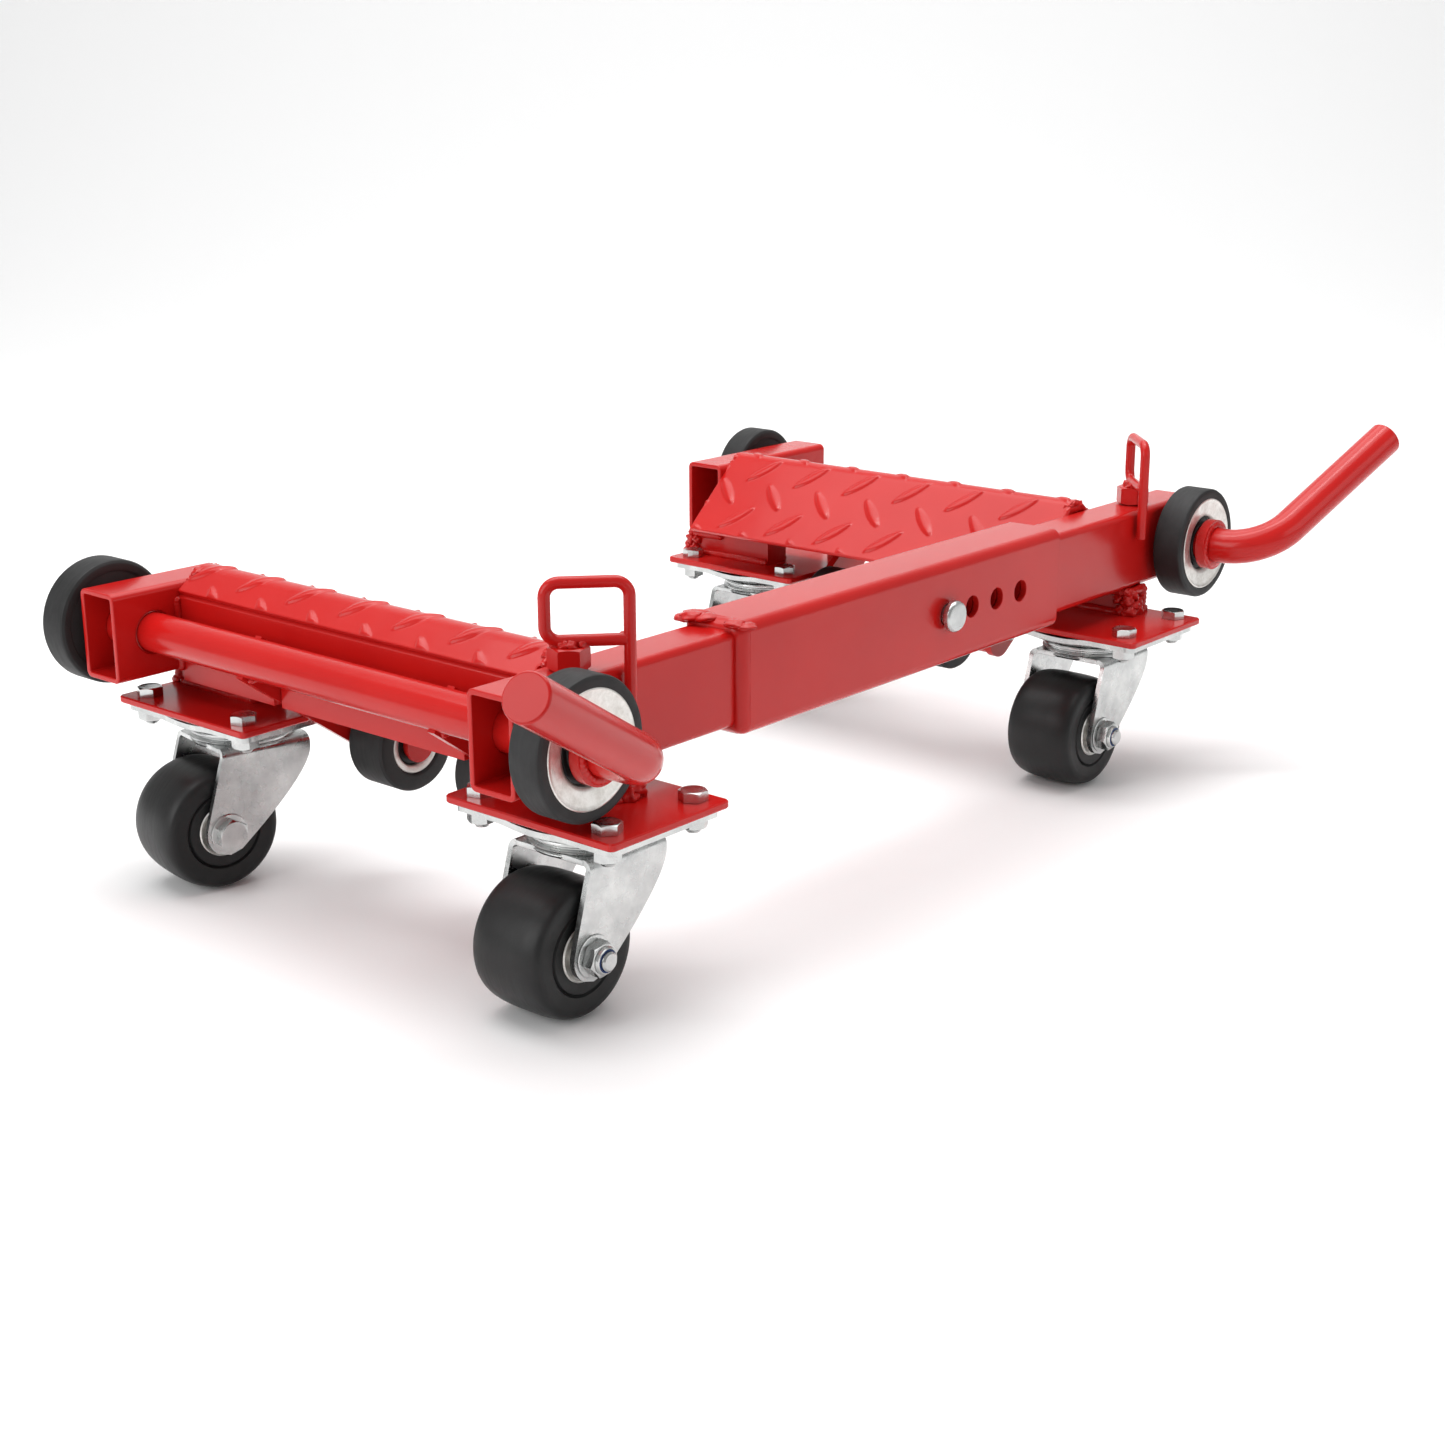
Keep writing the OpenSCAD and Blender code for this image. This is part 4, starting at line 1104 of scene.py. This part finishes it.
def sleeve():
    low, high = node_box("beam_sleeve")
    left = side_matrix("left")
    x0, x1 = low[0] + HALF_W + SLEEVE_WELD_L, high[0] + HALF_W
    d, h = high[1] - low[1], high[2] - low[2]
    outer, inner = rect(d, h, 6.0, 6), rect(d - 2 * SLEEVE_T, h - 2 * SLEEVE_T, 2.5, 6)
    edge, rim = 0.6, 0.4
    n = len(outer)

    def inset(points, k):
        """The outline moved toward its middle by k in both directions."""
        def toward(v):
            return v * (1 - k / max(abs(v), 1e-6)) if abs(v) > k else v
        return [(toward(px), toward(py)) for px, py in points]

    rings = [
        (x0 + edge, outer), (x1 - edge, outer), (x1, inset(outer, edge)), (x1, inset(inner, -rim)),
        (x1 - rim, inner), (x0 + rim, inner), (x0, inset(inner, -rim)), (x0, inset(outer, edge)),
    ]
    verts, faces = [], []
    for x, ring in rings:
        verts += [(x, p[0] + TUBE_D / 2, p[1] + TUBE_H / 2) for p in ring]
    for k in range(len(rings)):
        m = (k + 1) % len(rings)
        for i in range(n):
            j = (i + 1) % n
            faces.append((k * n + i, k * n + j, m * n + j, m * n + i))
    tube = Shape().add([left @ Vector(v) for v in verts], faces)
    obj = piece("sleeve_tube", tube, RED, "frame", ("beam_sleeve",), smooth=35)
    pin_low, pin_high = node_box("adjusting_pin")
    pin_x = (pin_low[0] + pin_high[0]) / 2 + HALF_W
    cutter = Shape()
    drill = lathe([(0, -30), (HOLE_R, -30), (HOLE_R, 60), (0, 60)], 56, False)
    for k in range(HOLES):
        cutter.join(drill, left @ at(pin_x + HOLE_PITCH * k, 0, AXIS_Z))
    cut(obj, cutter, 0.45)
    # The weld round the left end of the sleeve
    steps = ((-6.5, 0.4), (-6.2, 2.6), (-5.2, 5.4), (-3.4, 8.0), (-1.2, 9.3), (1.2, 9.7), (1.8, 8.6))
    weld = fillet(x0, steps)
    # Lumps on its top: along, back, up and radius
    lumps = (
        (-1, -18, 27.5, 4.6), (-3, -13, 28.5, 5.0), (-4, 13, 29, 6.4),
        (-6, 17, 27.5, 5.4), (-3, 6, 28.8, 5.2),
    )
    for k, (dx, dy, dz, r) in enumerate(lumps):
        place = (x0 + dx, TUBE_D / 2 + dy, TUBE_H / 2 + dz)
        weld.join(blob(place, r, 75 + k, 0.28, (1.25, 1.1, 0.42)))
    piece("sleeve_weld", weld.moved(left), WELD, "frame", smooth=180)


def cut(obj, cutter, bevel):
    """Drills holes through a piece, and rounds their rims."""
    tool = bpy.data.objects.new("cutter", clean_mesh("cutter", cutter))
    bpy.context.collection.objects.link(tool)
    b = obj.modifiers.new("holes", "BOOLEAN")
    b.operation = "DIFFERENCE"
    b.solver = "EXACT"
    b.object = tool
    for m in list(obj.modifiers):
        if m.name != "holes":
            obj.modifiers.remove(m)
    graph = bpy.context.evaluated_depsgraph_get()
    result = bpy.data.meshes.new_from_object(obj.evaluated_get(graph))
    obj.modifiers.clear()
    obj.data = result
    bpy.data.objects.remove(tool)
    for p in obj.data.polygons:
        p.use_smooth = True
    finish(obj, bevel, 35)


def frame_welds():
    crank_angle = -36
    for side in SIDES:
        m = side_matrix(side)
        x0, x1 = RAIL_X + SHIFT[side] - 0.8, RAIL_X + RAIL_T + SHIFT[side] + 0.8
        rail = Shape()
        for k, y in enumerate((TUBE_D, ARM_D - TUBE_D)):
            seed = k + SHIFT[side]
            rail.join(bead([(x0, y, 2), (x0, y, 40)], 2.2, 81 + seed))
            rail.join(bead([(x1, y, 2), (x1, y, 38)], 2.2, 85 + seed))
        piece(f"{side}_rail_welds", rail.moved(m), WELD, ROOT[side], smooth=180)
        # Both faces of both crank plates, only on the side of the shaft that faces the rail
        crank = Shape()
        low, high = node_box(f"{side}_crank")
        first, last = low[1] - FRONT_Y, high[1] - FRONT_Y
        for k, y in enumerate((first, first + 5, last - 5, last)):
            arc = [math.radians(crank_angle - 62 + 124 * i / 16) for i in range(17)]
            saddle = [Vector((11.6 * math.cos(a), 0, 11.6 * math.sin(a))) for a in arc]
            out = -0.6 if k % 2 == 0 else 0.6
            crank.join(bead(saddle, 1.9, 90 + k, 0.25), at(SHAFT_X, y + out, AXIS_Z))
        piece(f"{side}_crank_welds", crank.moved(m), WELD, f"{side}_turning_shaft", smooth=180)


for side_name in SIDES:
    tread_plate(side_name)
    mounts(side_name)
casters()
end_wheels()
rollers()
handles()
lock_pins()
adjusting_pin()
sleeve()
frame_welds()

# CAD nodes that stay
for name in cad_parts:
    if name.endswith("_kingpin"):
        dress(name, ZINC, 0.3)
    elif name == "right_beam":
        dress(name, RED, 0)
    elif name.endswith(("_bushes", "_beam", "_rear_tube", "_rail", "_shaft", "_crank")):
        dress(name, RED, 0.6)

# ---- Stage ----


def make_backdrop():
    """A pale floor that curves up into a wall behind the dolly."""
    near, far, radius, height, half_w = -6.0, 2.0, 2.0, 6.0, 8
    depth = [(near, 0.0), (far, 0.0)]
    for i in range(1, 17):
        a = math.pi / 2 * i / 16
        depth.append((far + radius * math.sin(a), radius * (1 - math.cos(a))))
    depth.append((far + radius, height))
    across = Vector((0.649, -0.761, 0)).normalized()
    along = Vector((0.761, 0.649, 0)).normalized()
    verts, faces = [], []
    for d, z in depth:
        for side in (-half_w, half_w):
            verts.append(along * d + across * side + Vector((0, 0, z)))
    for i in range(len(depth) - 1):
        faces.append((2 * i, 2 * i + 1, 2 * i + 3, 2 * i + 2))
    mesh = bpy.data.meshes.new("backdrop")
    mesh.from_pydata([tuple(v) for v in verts], [], faces)
    for p in mesh.polygons:
        p.use_smooth = True
    obj = bpy.data.objects.new("backdrop", mesh)
    bpy.context.collection.objects.link(obj)
    n = Nodes("pale_floor")
    n.set(base_color=(0.93, 0.93, 0.93, 1), roughness=0.8)
    n.shader.inputs["Specular IOR Level"].default_value = 0.2
    mesh.materials.append(n.material)


def area_light(name, place, target, size, power):
    """A soft light. Places and sizes are in metres, power is in watts."""
    data = bpy.data.lights.new(name, "AREA")
    data.shape = "RECTANGLE"
    data.size, data.size_y = size
    data.energy = power
    obj = bpy.data.objects.new(name, data)
    bpy.context.collection.objects.link(obj)
    obj.location = place
    aim = Vector(target) - Vector(place)
    obj.rotation_euler = aim.to_track_quat("-Z", "Y").to_euler()


make_backdrop()
MIDDLE = (0, 0, 0.1)
WALL = (2.6, 2.2, 1.6)
area_light("top", (0.1, 0.3, 1.9), MIDDLE, (2.4, 2.0), 38)
area_light("wall", (0.5, 0.3, 3.4), WALL, (3.0, 1.0), 70)
area_light("left", (-1.9, 0.5, 0.9), MIDDLE, (1.4, 1.2), 16)
area_light("front", (0.4, -2.2, 0.8), MIDDLE, (1.6, 1.0), 6)
world = bpy.data.worlds.new("studio")
world.use_nodes = True
background = world.node_tree.nodes["Background"]
background.inputs["Color"].default_value = (1, 1, 1, 1)
background.inputs["Strength"].default_value = 0.42
bpy.context.scene.world = world
bpy.context.scene.view_settings.view_transform = "Standard"
